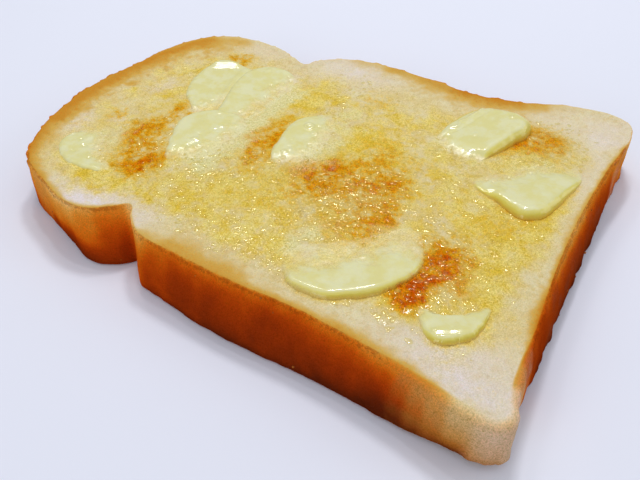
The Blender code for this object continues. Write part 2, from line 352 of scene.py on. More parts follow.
# --------------------------------------------------- butter pats, read as objects
# Each is its outline where it meets the bread, with how thick the butter stands
# just behind that edge: a lip where it is high, melted away where it is near 0.
PATS = {
    "butter_pat_1": dict(
        edge=[(-35.5, 132, .55), (-36.2, 126, .6), (-35.4, 121, .55), (-33, 117.5, .4), (-30.4, 119, .3), (-29, 122, .2),
              (-26, 125, .15), (-22, 127.5, .12), (-19.6, 131, .15), (-19.5, 134.5, .3), (-22, 137.6, .4), (-26, 139.2, .5),
              (-30, 138.6, .55), (-33, 136.2, .55)],
        width=1.8, taper=5.0, centre=(-29, 129), cover=1.9,
        marks=[(-26.5, 128.5, .8, .19, "dome"), (-30.0, 123.5, .7, .17, "dome")]),
    "butter_pat_2": dict(
        edge=[(.6, 115.5, .6), (4, 119.4, .7), (7, 123, .8), (12, 126.2, .9), (19, 127.8, .9), (26, 127.6, .9),
              (29.6, 125.5, .9), (30.8, 121, .9), (30.6, 116.6, .9), (29, 112.5, .9), (20, 110.0, .6), (11, 109.0, .4),
              (5, 110.2, .2), (2, 112.6, .25)],
        width=1.7, taper=5.0, centre=(16, 119), facet=(27.0, 122.0, .87, .49, .26, 2.8, 4.8),
        ridges=[([(5, 109.9), (8, 111.3), (15, 113.6), (22, 115.3), (28, 115.6)], .9, .20)],
        marks=[(2.8, 116.8, 1.1, .30, "dome")]),
    "butter_pat_3": dict(
        edge=[(4, 109.5, .85), (8, 110.9, .9), (15, 113.2, .95), (22, 114.9, 1.0), (28, 115.0, 1.1), (32.4, 112.4, 1.1),
              (35.0, 108, 1.0), (35.0, 103.5, .85), (32.6, 99.4, .6), (29, 96.2, .3), (20, 95, .15), (10, 95.6, .12), (5, 97, .15),
              (2.5, 103, .6)],
        width=2.0, taper=8.0, centre=(18, 105),
        marks=[(31.4, 108.6, 1.1, .22, "dome")]),
    "butter_pat_4": dict(
        edge=[(-23, 108, .3), (-18, 110.8, .6), (-12, 113.8, .8), (-6, 116.0, .9), (-1, 115.7, .9), (2.6, 113, .9),
              (5.4, 108.6, .9), (6, 103, .7), (4, 97, .3), (-3, 94.5, .15), (-10, 94.2, .12), (-18, 95, .12), (-21, 100, .12),
              (-22, 104.5, .15)],
        width=1.8, taper=8.5, centre=(-8, 105), cover=1.25,
        marks=[(-15.2, 104.8, 1.5, .30, "dome"), (-11.0, 106.2, 1.3, .30, "dome"), (-12.6, 104.0, .8, .2, "dome"),
               (-7.0, 97.2, 1.2, .30, "dome"), (-2.0, 103.5, .8, .16, "dome")]),
    "butter_pat_5": dict(
        edge=[(-9, 82, .5), (-5, 85, .7), (0, 86, .8), (5, 87, .9), (9.4, 87.3, .9), (14, 85.6, .8), (17.2, 82.5, .7),
              (20, 79.5, .4), (17.5, 75.0, .15), (9, 71.5, .12), (0, 71.3, .12), (-6, 73.6, .12), (-9, 78, .2)],
        width=1.6, taper=7.0, centre=(5, 80), cover=1.2,
        marks=[(10.0, 81.5, 1.15, .30, "ring"), (8.0, 78.2, .8, .20, "dome"), (-4.0, 81.5, 1.1, .28, "dome"),
               (-6.2, 80.2, .8, .24, "dome"), (-2.2, 80.6, .7, .22, "dome"), (14.5, 79.5, .7, .14, "dome")]),
    "butter_pat_6": dict(
        edge=[(18.5, 33.8, .4), (22, 31.6, 1.6), (30, 28.2, 3.0), (36, 25.8, 3.7), (40.6, 26.2, 3.9), (43.4, 30, 3.6),
              (44.6, 35.6, 2.9), (43.8, 40.5, 2.4), (40, 44.2, 1.9), (35, 46.4, 1.4), (28, 48.2, .8), (22, 48, .25),
              (17.5, 42, .15)],
        width=2.9, taper=4.5, centre=(33, 37),
        ridges=[([(29, 46), (30.2, 44.3), (32.6, 44.7), (34, 43.4), (36.6, 42.6), (39.8, 41.2), (42.2, 42.0)], .55, .34),
                ([(27, 44.8), (31, 42.6), (36, 40.8), (41, 39.0)], .5, -.16)],
        marks=[(39.5, 32.0, .9, .22, "dome"), (28.0, 38.6, .8, .16, "dome"), (24.2, 46.2, 1.0, .2, "dome")]),
    "butter_pat_7": dict(
        edge=[(.4, 16.4, 2.5), (3, 12.2, 2.7), (9, 9.9, 2.3), (16, 8.4, 1.6), (23, 7.3, .9), (28.4, 9.2, .45), (28.8, 15, .2),
              (25, 22, .12), (18, 28, .15), (11, 32.4, .5), (6.6, 30.4, 1.2), (3.9, 24, 2.2)],
        width=2.7, taper=9.0, centre=(13, 19)),
    "butter_pat_8": dict(
        edge=[(-46.0, 20.4, 1.5), (-45.3, 17.6, 1.7), (-42.5, 14.2, 1.7), (-38.8, 12.6, 1.5), (-34.6, 12.4, 1.1), (-31.4, 12.9, .6),
              (-31.2, 14.3, .34), (-34.6, 16.8, .40), (-37.2, 20, .42), (-38.3, 23.4, .38), (-37.8, 26.6, .3), (-39.6, 26.8, .34),
              (-42, 24.8, .7), (-44.6, 22.8, 1.1)],
        width=1.6, taper=2.4, centre=(-40.4, 18.0), facet=(-42.8, 17.9, .87, .49, .19, .9, 3.6),
        marks=[(-43.6, 21.0, .7, .12, "dome")]),
    "butter_pat_9": dict(
        edge=[(-46.7, 50, 1.3), (-46.2, 45, 1.5), (-43.4, 40.6, 1.6), (-40.2, 36.4, 1.6), (-36, 33.4, 1.5), (-31, 31.0, 1.3),
              (-27.6, 30.5, 1.3), (-23, 31.7, .9), (-19, 33.6, .6), (-14, 35.4, .3), (-12.4, 39, .12), (-17, 45, .1),
              (-23, 51, .1), (-28, 57, .12), (-33, 62, .2), (-38, 61.4, .5), (-43, 58, .9), (-46.2, 54.4, 1.3)],
        width=1.9, taper=15.0, centre=(-32, 45), cover=.62,
        marks=[(-31.6, 43.2, 1.2, .05, "ring"), (-33.4, 44.6, .8, .06, "dome")]),
}
for spec in PATS.values():
    spec["line"] = spline([(x, y, h) for x, y, h in spec["edge"]], 14)


def within(x, y, line):
    """Whether points lie inside a closed outline."""
    flat_x, flat_y = np.ravel(x), np.ravel(y)
    hit = np.zeros(len(flat_x), bool)
    box = (flat_x > line[:, 0].min()) & (flat_x < line[:, 0].max()) & (flat_y > line[:, 1].min()) & (flat_y < line[:, 1].max())
    px, py = flat_x[box], flat_y[box]
    a, b = line[:, :2], np.roll(line[:, :2], -1, 0)
    odd = np.zeros(len(px), bool)
    for (ax, ay), (bx, by) in zip(a, b):
        cross = (ay > py) != (by > py)
        if cross.any():
            t = (bx - ax) * (py - ay) / (by - ay if by != ay else 1e-9) + ax
            odd ^= cross & (px < t)
    hit[box] = odd
    return hit.reshape(np.shape(x))


# ------------------------------------------------- where the toast is browned etc.
BROWNED = [
    (-19, 118.5, 12, 8, 15, .48), (-25, 111.5, 6, 5, 0, .40), (-3, 119.5, 6, 4, 10, .50), (-15, 125, 8, 3.5, -15, .25),
    (34, 121, 3.5, 5.5, 0, .50), (3, 89.7, 12, 4.8, -5, .43), (-3, 92.5, 6, 4, 0, .25), (-10, 87, 7, 5, 0, .35),
    (-8, 68, 9, 8, 0, .56), (-4, 57, 13, 11, 20, .36), (-6, 70, 4, 3.4, 0, .35), (-14, 49, 11, 8, 0, .30),
    (0, 52, 5, 5, 0, .20), (-17, 44.5, 5, 3, 0, .22), (-22, 51.6, 4, 3, 0, -.12), (-5, 76, 5, 3, 0, .12), (-33, 28.6, 8, 3.4, -12, .80), (-23, 25.5, 9, 6, 0, .64), (-37, 31, 5, 3, -30, .34), (-21, 30, 7, 4, 0, .25), (-11, 34, 12, 6, 0, .15),
    (35, 21, 8, 8, 0, .60), (30, 27, 9, 3, -20, .26), (-11, 134, 5, 4, 0, .30), (32, 71, 6, 5, 0, .28),
    (14, 60, 11, 9, 0, .18), (-31, 114, 4, 7, 0, .30), (-22, 68, 10, 18, 0, .18), (-10, 100, 26, 24, 0, .05),
    (-4, 20, 7, 7, 0, .25), (-27, 54, 7, 6, 0, .20), (-21, 46, 7, 5, 40, .18), (-30, 20, 6, 5, 0, .22), (44, 38, 4, 9, 0, .12), (4, 45, 14, 5, 0, .15), (18, 30, 7, 5, 0, .20), (10, 50, 8, 5, 0, .14),
    (27, 8, 8, 3, 0, .12), (47, 31, 5, 6, 0, .16), (-34, 6, 6, 3, 0, .10),
]
SOAKED = [
    (-28, 80, 13, 17, 0, .22), (25, 92, 11, 6, -10, .35), (10, 56, 16, 14, 0, .15), (-35, 111, 4.5, 12, 0, .18),
    (-34, 63, 9, 10, 0, .20), (33, 25, 10, 9, 0, .35), (-20, 98, 14, 8, 0, .15), (-6, 18, 12, 9, 0, .35),
    (-28, 16, 14, 6, 0, .30), (12, 128, 18, 5, 0, .20), (-32, 134, 10, 8, 0, .10), (16, 88, 20, 5, 0, .20),
    (-37, 121, 2.2, 7, 0, .45), (10, 10, 22, 3.5, 0, .30), (-40, 33, 5, 6, 0, .30), (12, 67, 16, 6, 0, .25), (20, 138, 9, 3, 0, .40), (18, 30, 7, 5, 0, .25), (0, 140, 12, 4, 0, .12),
    (-46.5, 17, 4.5, 5, 0, .35), (-33, 6, 7, 3, 0, .25),
]
FILMED = [
    (0, 96.5, 24, 4.5, 0, .75), (22, 96, 10, 5, 0, .60), (-18, 101, 5, 7, 0, .6), (4, 73.5, 15, 5, 0, .60),
    (-28, 20, 8, 6, -30, .20), (-30, 53, 13, 6, 45, .25), (-32, 58, 6, 4, 0, .45), (-20, 41, 6, 5, 0, .35), (22, 20, 8, 8, 0, .45), (21, 38, 5, 8, 0, .35),
    (20, 47, 14, 5, -10, .30), (-22, 128, 6, 5, 0, .40), (2, 111.5, 5, 3, 0, .35), (24, 73.5, 6, 3.2, -35, .50),
    (-33, 60, 6, 4, 0, .30), (14, 31, 8, 5, 0, .35), (-14, 128, 30, 6, 0, .15),
]
WETTED = [
    (-12, 57, 13, 10, 0, 1.0), (-30, 28, 13, 7, -10, 1.0), (22, 20, 20, 11, 0, .60), (-40, 70, 6, 15, 0, .55),
    (-26, 84, 15, 16, 0, .35), (-10, 81, 7, 8, 0, .55), (28, 77, 12, 10, 0, .30), (0, 43, 20, 12, 0, .50),
    (36, 21, 8, 9, 0, .70), (16, 38, 10, 8, 0, .40), (-20, 112, 12, 10, 0, .45), (-30, 18, 12, 8, 0, .50),
    (-22, 98, 12, 8, 0, .40), (6, 128, 24, 6, 0, .15), (-43, 40, 4, 9, 0, .35), (-6, 14, 10, 6, 0, .40),
]


PALE = [
    (-54, 8, 12, 16, 0, .60), (-46, 116, 5, 12, 0, .95), (45, 86, 8, 14, 0, .55), (-20, 143, 7, 4, 0, .60), (8, 133, 6, 3, 0, .45),
    (-13, 131, 4, 3, 0, .45), (50, 20, 8, 10, 0, .25), (30, 100, 6, 4, 0, .40), (-50, 25, 5, 12, 0, .25), (28, 6, 12, 3, 0, .35),
    (42, 118, 5, 8, 0, .30), (-24, 96, 5, 3, 0, .30), (-38, 104, 5, 3, 0, .35), (19, 66, 6, 3, 0, .30), (-37, 68, 4, 6, 0, .30),
    (-43, 98, 6, 7, 0, .50), (48, 6, 9, 7, 0, .45),
]
DROPS = [
    (-15, 58, 6, 4.5, 95), (-27, 61, 5, 6, 34), (-30, 27, 6, 3, 34), (36, 22, 4, 4, 18), (19, 36, 6, 4, 16), (-20, 84, 6, 8, 22),
    (-41, 62, 2, 6, 18), (-6, 70, 5, 5, 20), (-5, 50, 5, 4, 22), (-8, 88, 5, 3, 12), (-20, 33, 6, 4, 18),
]
DOMES = [(-11, 54, 5, 4, 16), (-23, 59, 4, 4, 9), (-26, 51, 3, 3, 6), (-30, 29, 4, 2, 5), (-6, 84, 4, 3, 4)]
FILM_AT, FILM_REACH = (-27.5, 20.8), 7.6      # a thin disc of melted butter beside pat 8
HOLES = [
    (-23.8, 64.0, 1.3, 0.8, 60, .55), (-29.4, 67.4, 1.5, 0.7, 75, .50), (-10.2, 76.0, 0.9, 0.9, 0, .60), (-10.0, 69.3, 1.1, 1.0, 0, .55),
    (-17.5, 60.5, 1.0, 0.8, 20, .45), (-15.0, 56.0, 1.2, 0.8, -30, .45), (-13.0, 53.5, 0.9, 1.1, 0, .45), (-20.0, 84.0, 1.2, 1.0, 0, .40),
    (-7.0, 55.0, 1.0, 0.7, 0, .40), (-20.5, 96.0, 1.3, 0.7, 30, .40), (3.0, 63.0, 0.9, 0.7, 0, .35), (29.0, 23.5, 1.2, 0.8, 20, .45),
]


# How brown the cut face is at its rim: place, tone at the ridge, millimetres it
# reaches inwards, and a fainter tone that reaches further.
RIMS = [
    (-57, 6, .04, 1.5, 0), (-56.5, 20, .36, 3.0, 0), (-53.6, 35, .38, 2.9, 0), (-52.4, 46, .40, 2.3, 0), (-52, 58, .37, 2.3, .03),
    (-52, 72, .37, 2.8, .14), (-51, 84, .36, 2.3, .18), (-50, 92, .30, 2.0, .08), (-47, 98, .22, 1.0, 0), (-42.2, 103, .12, 1.2, 0),
    (-46.5, 109, .32, 1.7, 0), (-49.2, 118, .29, 1.4, 0), (-47, 126, .36, 1.9, 0), (-44, 134, .39, 3.0, 0), (-39, 141.5, .42, 3.6, 0),
    (-30, 147.4, .45, 4.0, .06), (-16, 151, .43, 5.0, .12), (0, 152, .40, 7.5, .08), (14, 150, .41, 7.0, .08), (28, 147, .35, 8.5, .12),
    (39, 142, .30, 10, .14), (47, 131, .14, 14, .10), (47, 118, .06, 8, .04), (42, 102, .07, 3, 0), (49, 96, .09, 4, 0), (53, 83, .20, 3.6, .04),
    (53.2, 71, .36, 3.2, .05), (52.4, 60, .36, 5.0, .06), (51, 47, .47, 6.8, 0), (52.5, 36, .44, 7.0, 0), (55, 28, .33, 6.0, .03), (57, 24, .18, 4.0, 0),
    (58, 20, .13, 4, 0), (59.5, 10, .04, 2, 0), (50, 1, .05, 1.5, 0), (40, 1.8, .37, 1.4, 0), (25, 2.9, .39, 1.1, 0), (5, 3.8, .36, 1.5, 0),
    (-15, 3.4, .46, 1.15, 0), (-30, 2.6, .56, 2.0, 0), (-39, 2.0, .42, 1.6, 0), (-45, 1.2, .32, 1.2, 0), (-52, .2, .08, 1.5, 0),
]
# How brown the crust is down the wall, at these parts of the way from ridge to foot,
# and how much of it is pale untoasted skin: place, skin, tones. The tones darken towards
# the foot partly from the crust's own browning and partly as painted shade where the foot
# of the wall sits in shade against the table.
WALL_PARTS = (0.0, 0.15, 0.35, 0.60, 0.85, 1.0)
WALLS = [
    (-59.2, 2.5, 1.0, (.10, .12, .14, .18, .26, .50)), (-58.8, 9.5, .95, (.14, .19, .28, .40, .66, 1.0)),
    (-58, 14, .82, (.30, .36, .44, .54, .74, .92)), (-57.3, 18, .64, (.38, .46, .56, .66, .86, 1.0)),
    (-56.2, 22, .26, (.40, .53, .65, .82, .97, 1.0)), (-55.2, 26, 0, (.41, .57, .71, .88, .98, 1.0)),
    (-53.6, 35, 0, (.42, .60, .74, .80, .92, 1.0)), (-52.2, 50, 0, (.46, .63, .75, .80, .86, .95)),
    (-52.1, 65, 0, (.46, .62, .74, .79, .84, .94)), (-51.4, 79, 0, (.46, .60, .71, .76, .80, .92)),
    (-50.5, 88, 0, (.40, .48, .58, .66, .70, .82)), (-49, 96, 0, (.24, .36, .47, .52, .55, .62)),
    (-45.6, 100, 0, (.10, .17, .33, .45, .51, .55)), (-42.2, 103.1, 0, (.14, .20, .36, .50, .58, .65)),
    (-43.8, 105, 0, (.35, .44, .55, .68, .80, .85)), (-46, 108, 0, (.33, .46, .55, .61, .77, .85)),
    (-48.8, 113, 0, (.24, .37, .43, .50, .82, .90)), (-49.2, 119, 0, (.16, .28, .37, .46, .80, .88)),
    (-47, 126, 0, (.18, .25, .33, .40, .70, .80)), (-44.5, 132, .25, (.28, .30, .34, .40, .52, .60)),
    (-36, 143, 0, (.35, .42, .50, .60, .75, .85)), (0, 152, 0, (.38, .46, .55, .65, .78, .88)),
    (40, 141, 0, (.30, .40, .50, .60, .75, .85)), (47.5, 122, 0, (.12, .25, .40, .55, .70, .85)),
    (42, 102, 0, (.12, .25, .40, .55, .70, .85)), (53, 82, 0, (.20, .34, .50, .62, .75, .88)),
    (52, 50, 0, (.42, .55, .66, .74, .84, .92)), (55, 28, 0, (.32, .45, .58, .68, .80, .90)),
    (59.6, 9, .2, (.04, .06, .12, .22, .38, .50)), (57, 2.4, .1, (.05, .10, .16, .26, .34, .42)),
    (50, .5, .1, (.15, .25, .36, .32, .40, .48)), (40, 1.8, .34, (.42, .39, .43, .51, .62, .70)),
    (30, 2.4, .05, (.38, .53, .65, .74, .85, .92)), (20, 3, .07, (.38, .55, .71, .83, .94, 1.0)),
    (5, 3.8, .07, (.26, .53, .72, .83, .92, 1.0)), (-10, 3.7, .07, (.34, .58, .72, .82, .92, 1.0)),
    (-20, 3, .08, (.50, .64, .72, .77, .88, .98)), (-30, 2.6, 0, (.66, .71, .77, .80, .82, .90)),
    (-36, 2.2, .05, (.62, .66, .72, .72, .74, .80)), (-40, 2, .20, (.52, .56, .56, .54, .54, .54)),
    (-45, 1.2, .60, (.36, .33, .28, .22, .16, .14)), (-50, .6, .95, (.17, .14, .10, .07, .06, .06)),
    (-55, -.6, 1.0, (.10, .10, .10, .10, .12, .16)),
]


def from_places(x, y, places, values):
    """Values known at a few places round the rim, eased between them."""
    x, y, values = np.ravel(x), np.ravel(y), np.asarray(values, float)
    out = np.empty((len(x), values.shape[1]))
    at = np.asarray(places, float)
    for k in range(0, len(x), 8000):
        d2 = (x[k:k + 8000, None] - at[None, :, 0]) ** 2 + (y[k:k + 8000, None] - at[None, :, 1]) ** 2
        w = 1.0 / (d2 + 2.0) ** 2
        out[k:k + 8000] = (w @ values) / w.sum(1)[:, None]
    return out


def looks_at(x, y):
    """What the surface looks like at places on the cut face, as named masks."""
    drift_x = x + 2.6 * layered(x, y, 6.0, 301, 4, 0.6)
    drift_y = y + 2.6 * layered(x, y, 6.0, 341, 4, 0.6)
    mottle = layered(x, y, 5.5, 401, 4, 0.65)
    fleck = layered(x, y, 1.7, 451, 3, 0.7)
    browned = spots(drift_x, drift_y, BROWNED)
    browned = browned * (1.0 + 0.50 * mottle + 0.45 * fleck)
    field = smooth(-47.5, -39, drift_x) * (1 - smooth(24, 50, drift_x)) * smooth(6.0, 13, drift_y) * (1 - 0.35 * smooth(120, 134, drift_y)) * (1 - 0.6 * smooth(140, 150, drift_y))
    soaked = field * (0.60 + 0.42 * mottle + 0.28 * fleck) + spots(drift_x, drift_y, SOAKED) * (1 + 0.4 * mottle)
    pale = spots(drift_x, drift_y, PALE) * (1 + 0.5 * mottle + 0.3 * fleck)
    filmed = spots(drift_x, drift_y, FILMED) * (1.0 + 0.45 * mottle)
    wetted = spots(drift_x, drift_y, WETTED)
    return dict(
        browned=np.clip(browned, 0, 1.3),
        soaked=np.clip(soaked, 0, 1.1),
        filmed=np.clip(filmed, 0, 1),
        wetted=np.clip(wetted, 0, 1),
        pale=np.clip(pale, 0, 1),
    )


def soak_line(x, y):
    """Browned, soaked bread at the foot of each thick lip."""
    total = np.zeros(np.shape(x))
    for spec in PATS.values():
        line = spec["line"]
        lo, hi = line[:, :2].min(0) - 4, line[:, :2].max(0) + 4
        near = (x > lo[0]) & (x < hi[0]) & (y > lo[1]) & (y < hi[1])
        if not near.any():
            continue
        px, py = x[near], y[near]
        d = ((px[:, None] - line[None, :, 0]) ** 2 + (py[:, None] - line[None, :, 1]) ** 2)
        k = d.argmin(1)
        dist = np.sqrt(d[np.arange(len(px)), k])
        total[near] = np.maximum(total[near], smooth(0.5, 1.9, line[k, 2]) * (1 - smooth(0.1, 1.9, dist)))
    return total


def crumb_height(x, y, rim):
    """Height of the cut face: crumb a little below the crust's rim, with its pores and lumps."""
    z = THICKNESS - RIM_RISE * smooth(0.5, 4.0, rim)
    inner = smooth(0.0, 3.0, rim)
    z = z + inner * (0.16 * layered(x, y, 24.0, 11, 2) + 0.10 * layered(x, y, 6.0, 21, 3) + 0.075 * layered(x, y, 1.9, 31, 2, 0.7))
    z = z + inner * smooth(0.1, 0.7, spots(x, y, WETTED)) * 0.085 * layered(x, y, 1.5, 41, 2, 0.6)
    gap, who = cells(x + 0.5 * noise(x, y, 2.0, 5), y + 0.5 * noise(x, y, 2.0, 6), 3.1, 51)
    size = np.where(who > 0.55, 0.45 + 1.0 * (who - 0.55), 0.0)
    z = z - inner * 0.34 * np.clip(1.0 - (gap / np.maximum(size, 1e-3)) ** 2, 0, 1) * (size > 0)
    film = np.hypot(x - FILM_AT[0] + 0.5 * noise(x, y, 3.0, 7), y - FILM_AT[1] + 0.5 * noise(x, y, 3.0, 8))
    z = lerp(z, THICKNESS - RIM_RISE + 0.05, 0.75 * (1 - smooth(FILM_REACH - 0.6, FILM_REACH, film)))
    z = z + 0.10 * np.exp(-((film - FILM_REACH + 0.5) / 0.45) ** 2)
    for px, py, rx, ry, turn, depth in HOLES:
        a = math.radians(turn)
        u = ((x - px) * math.cos(a) + (y - py) * math.sin(a)) / rx
        v = (-(x - px) * math.sin(a) + (y - py) * math.cos(a)) / ry
        q = u * u + v * v
        z = z - depth * np.exp(-q * q) + 0.22 * depth * np.exp(-((np.sqrt(q) - 1.5) / 0.4) ** 2)
    return z


# ------------------------------------------------------------------- mesh makers
def to_mesh(name, co, faces, uv=None, masks=None, flat=None):
    """A smooth mesh from points in mm, a list of face arrays, and optional corner places on the bake map.
    The face arrays from number `flat` on are shaded flat, so that a buried skirt doesn't darken a rim."""
    co = np.asarray(co, float)
    loops = np.concatenate([f.ravel() for f in faces])
    sizes = np.concatenate([np.full(len(f), f.shape[1]) for f in faces])
    mesh = bpy.data.meshes.new(name)
    mesh.vertices.add(len(co))
    mesh.vertices.foreach_set("co", ((co - shift) * MM).ravel())
    mesh.loops.add(len(loops))
    mesh.loops.foreach_set("vertex_index", loops.astype(np.int32))
    mesh.polygons.add(len(sizes))
    mesh.polygons.foreach_set("loop_start", np.concatenate([[0], np.cumsum(sizes)[:-1]]).astype(np.int32))
    mesh.polygons.foreach_set("loop_total", sizes.astype(np.int32))
    mesh.update(calc_edges=True)
    if uv is not None:
        layer = mesh.uv_layers.new(name="OFBake")
        layer.data.foreach_set("uv", np.concatenate([u.reshape(-1, 2) for u in uv]).ravel())
    for key, values in (masks or {}).items():
        mesh.attributes.new(key, "FLOAT", "POINT").data.foreach_set("value", np.asarray(values, np.float32).ravel())
    mesh.validate()
    mesh.shade_smooth()
    if flat is not None and len(mesh.polygons) == len(sizes):
        hard = np.arange(len(sizes)) >= sum(len(f) for f in faces[:flat])
        mesh.polygons.foreach_set("use_smooth", ~hard)
    obj = bpy.data.objects.new(name, mesh)
    bpy.context.scene.collection.objects.link(obj)
    return obj


def grid_faces(index):
    """Quads of a grid of point numbers, seen anticlockwise from above."""
    return np.stack([index[:-1, :-1], index[1:, :-1], index[1:, 1:], index[:-1, 1:]], -1).reshape(-1, 4)


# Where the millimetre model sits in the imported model: its slice fills the node's box.
foot_line = ring + ring_lean * ring_swell[:, None]
low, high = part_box("bread_slice")
shift = np.array([
    0.5 * (foot_line[:, 0].min() + foot_line[:, 0].max()) - 500.0 * (low.x + high.x),
    0.5 * (foot_line[:, 1].min() + foot_line[:, 1].max()) - 500.0 * (low.y + high.y),
    -1000.0 * low.z,
])
print("shift_mm", shift)
ring_swell = ring_swell * np.where(ring[:, 0] < 0, 1 - 0.26 * np.exp(-((ring[:, 1] - 31.0) / 13.0) ** 2), 1.0)


def make_bread():
    s = ring_s
    far_or_head = np.clip(smooth(0, 20, ring[:, 0]) * smooth(20, 35, ring[:, 1]) + smooth(120, 135, ring[:, 1]), 0, 1)
    rough_edge = 0.18 + 0.42 * far_or_head + 0.10 * (1 - smooth(2, 8, ring[:, 1])) * (1 - near_corner(ring[:, 0], ring[:, 1]))
    torn = noise(s, 0 * s, 2.6, 71, PERIMETER) * 0.6 + noise(s, 0 * s, 1.1, 72, PERIMETER) * 0.5
    torn = np.where(torn > 0.25, torn * 1.5, torn * 0.5)

    def push(t, z):
        """How far the crust's own bumps stand out at a level t from ridge to foot."""
        lumps = 0.16 * layered(s, z, 13.0, 81, 2, 0.5, PERIMETER)
        lumps = lumps + 0.085 * layered(s, z, 2.8, 91, 3, 0.6, PERIMETER)
        ridge = rough_edge * torn * (1 - smooth(0.0, 0.18, t))
        foot = (0.28 * noise(s, 0 * s, 3.4, 96, PERIMETER) + 0.26 * np.maximum(noise(s, 0 * s, 1.7, 97, PERIMETER), -0.2)) * smooth(0.75, 1.0, t) * (1.2 - 0.8 * smooth(4, 12, ring[:, 1]))
        crease = 0.0
        for at, tall, level, turn in ((87.0, 9.0, 0.34, 0.010), (92.0, 7.0, 0.42, -0.012), (81.0, 8.0, 0.52, 0.006)):
            off = t - level - turn * (ring[:, 1] - at) - 0.02 * noise(s, 0 * s, 4.0, 99, PERIMETER)
            crease = crease - 0.16 * np.exp(-(off / 0.028) ** 2) * np.exp(-((ring[:, 1] - at) / tall) ** 2) * (ring[:, 0] < 0)
        return lumps + ridge + foot + crease

    corner = near_corner(ring[:, 0], ring[:, 1])
    round_off = RIM_ROUND + CORNER_SOFT * corner
    rim_bump = 0.10 * noise(s, 0 * s, 3.0, 75, PERIMETER) + 0.10 * torn * far_or_head
    rings, levels = [], []
    for a in (0.0, 18.0, 36.0, 54.0, 72.0, 90.0):
        c, d = math.cos(math.radians(a)), math.sin(math.radians(a))
        z = THICKNESS - round_off * (1 - c) + rim_bump
        xy = ring + ring_n * (push(0 * s, z) * d - round_off * (1 - d))[:, None]
        rings.append(np.column_stack([xy, z]))
        levels.append(-1.0 + d)
    top = THICKNESS - round_off
    for k in range(1, WALL_LEVELS + 1):
        t = k / WALL_LEVELS
        out = math.sin(0.5 * math.pi * t) ** 0.85
        floor = FOOT_ROUND + corner_lift(ring[:, 0], ring[:, 1])
        z = lerp(top + rim_bump * (1 - t), floor, t)
        stand = ring_swell * out + push(t + 0 * s, z)
        rings.append(np.column_stack([ring + ring_lean * stand[:, None], z]))
        levels.append(t)
    last = rings[-1]
    for a in (30.0, 60.0, 90.0):
        c, d = math.cos(math.radians(a)), math.sin(math.radians(a))
        xy = last[:, :2] - ring_n * (FOOT_ROUND * (1 - c))
        z = corner_lift(xy[:, 0], xy[:, 1]) + FOOT_ROUND * (1 - d)
        rings.append(np.column_stack([xy, z]))
        levels.append(1.0 + d)

    # cut face
    face = coons(rings[0][:, :2], ACROSS, ALONG)
    fx, fy = face[..., 0], face[..., 1]
    rim = edge_distance(fx, fy)
    fz = crumb_height(fx, fy, rim)
    bottom_row = rings[0][:, 2]
    hem = smooth(0.45, 2.6, rim)
    hem_z = np.empty_like(fz)
    edge_points = rings[0][:, :2]
    flat = np.stack([fx.ravel(), fy.ravel()], 1)
    band = np.nonzero(hem.ravel() < 1.0)[0]
    hem_z[:] = 0.0
    for k in range(0, len(band), 4000):
        part = band[k:k + 4000]
        near = ((flat[part][:, None] - edge_points[None]) ** 2).sum(2).argmin(1)
        hem_z.ravel()[part] = bottom_row[near]
    fz = np.where(hem < 1.0, lerp(hem_z, fz, hem), fz)

    # underside
    half_ring = rings[-1][::2]
    under = coons(half_ring[:, :2] - ring_n[::2] * 1.2, ACROSS // 2, ALONG // 2)
    ux, uy = under[..., 0], under[..., 1]
    uz = corner_lift(ux, uy)
    urim = np.abs(edge_distance(ux, uy, rings[-1][::2, :2]))
    uz = uz + smooth(1.0, 4.0, urim) * (0.10 + 0.09 * layered(ux, uy, 3.0, 121, 3))

    co = [np.dstack([fx, fy, fz]).reshape(-1, 3)]
    index = np.arange(fx.size).reshape(fx.shape)
    loop_of = lambda g: np.concatenate([g[:, 0], g[-1, 1:], g[-2::-1, -1], g[0, -2:0:-1]])
    first = loop_of(index)
    faces, uvs = [], []
    quads = grid_faces(index)
    faces.append(quads)
    flat_uv = np.stack([(co[0][:, 0] + 60.6) / ATLAS, (co[0][:, 1] + 2.4) / ATLAS], 1)
    uvs.append(flat_uv[quads])
    total = fx.size
    upper = first
    strip_v = [0.0]
    for a, b in zip(rings, rings[1:]):
        strip_v.append(strip_v[-1] + float(np.linalg.norm(b - a, axis=1).mean()))
    where = np.arange(RING + 1)
    quarter = RING // 4
    for k, level_ring in enumerate(rings[1:], 1):
        lower = np.arange(total, total + RING)
        co.append(level_ring)
        total += RING
        nxt_u, nxt_l = np.roll(upper, -1), np.roll(lower, -1)
        quads = np.stack([upper, lower, nxt_l, nxt_u], 1)
        faces.append(quads)
        strip = np.minimum(where[:-1] // quarter, 3)
        along = np.append(ring_s, PERIMETER)
        base = along[strip * quarter]
        v0 = (along[:-1] - base) / ATLAS + 0.008
        v1 = (along[1:] - base) / ATLAS + 0.008
        left = (122.5 + 19.8 * strip) / ATLAS
        ua, ub = left + strip_v[k - 1] / ATLAS, left + strip_v[k] / ATLAS
        uvs.append(np.stack([np.stack([ua, v0], 1), np.stack([ub, v0], 1), np.stack([ub, v1], 1), np.stack([ua, v1], 1)], 1))
        upper = lower
    uindex = np.arange(total, total + ux.size).reshape(ux.shape)
    co.append(np.dstack([ux, uy, uz]).reshape(-1, 3))
    inner = loop_of(uindex)
    a, m, b = upper[::2], upper[1::2], np.roll(upper, -2)[::2]
    c, d = inner, np.roll(inner, -1)
    tris = np.concatenate([np.stack([a, c, m], 1), np.stack([m, c, d], 1), np.stack([m, d, b], 1)])
    quads = grid_faces(uindex)[:, ::-1]
    co = np.concatenate(co)
    lower_uv = np.stack([(co[:, 0] + 62) * 0.43 / ATLAS + 124.5 / ATLAS, (co[:, 1] + 3) * 0.43 / ATLAS + 133.0 / ATLAS], 1)
    faces += [tris, quads]
    uvs += [lower_uv[tris], lower_uv[quads]]

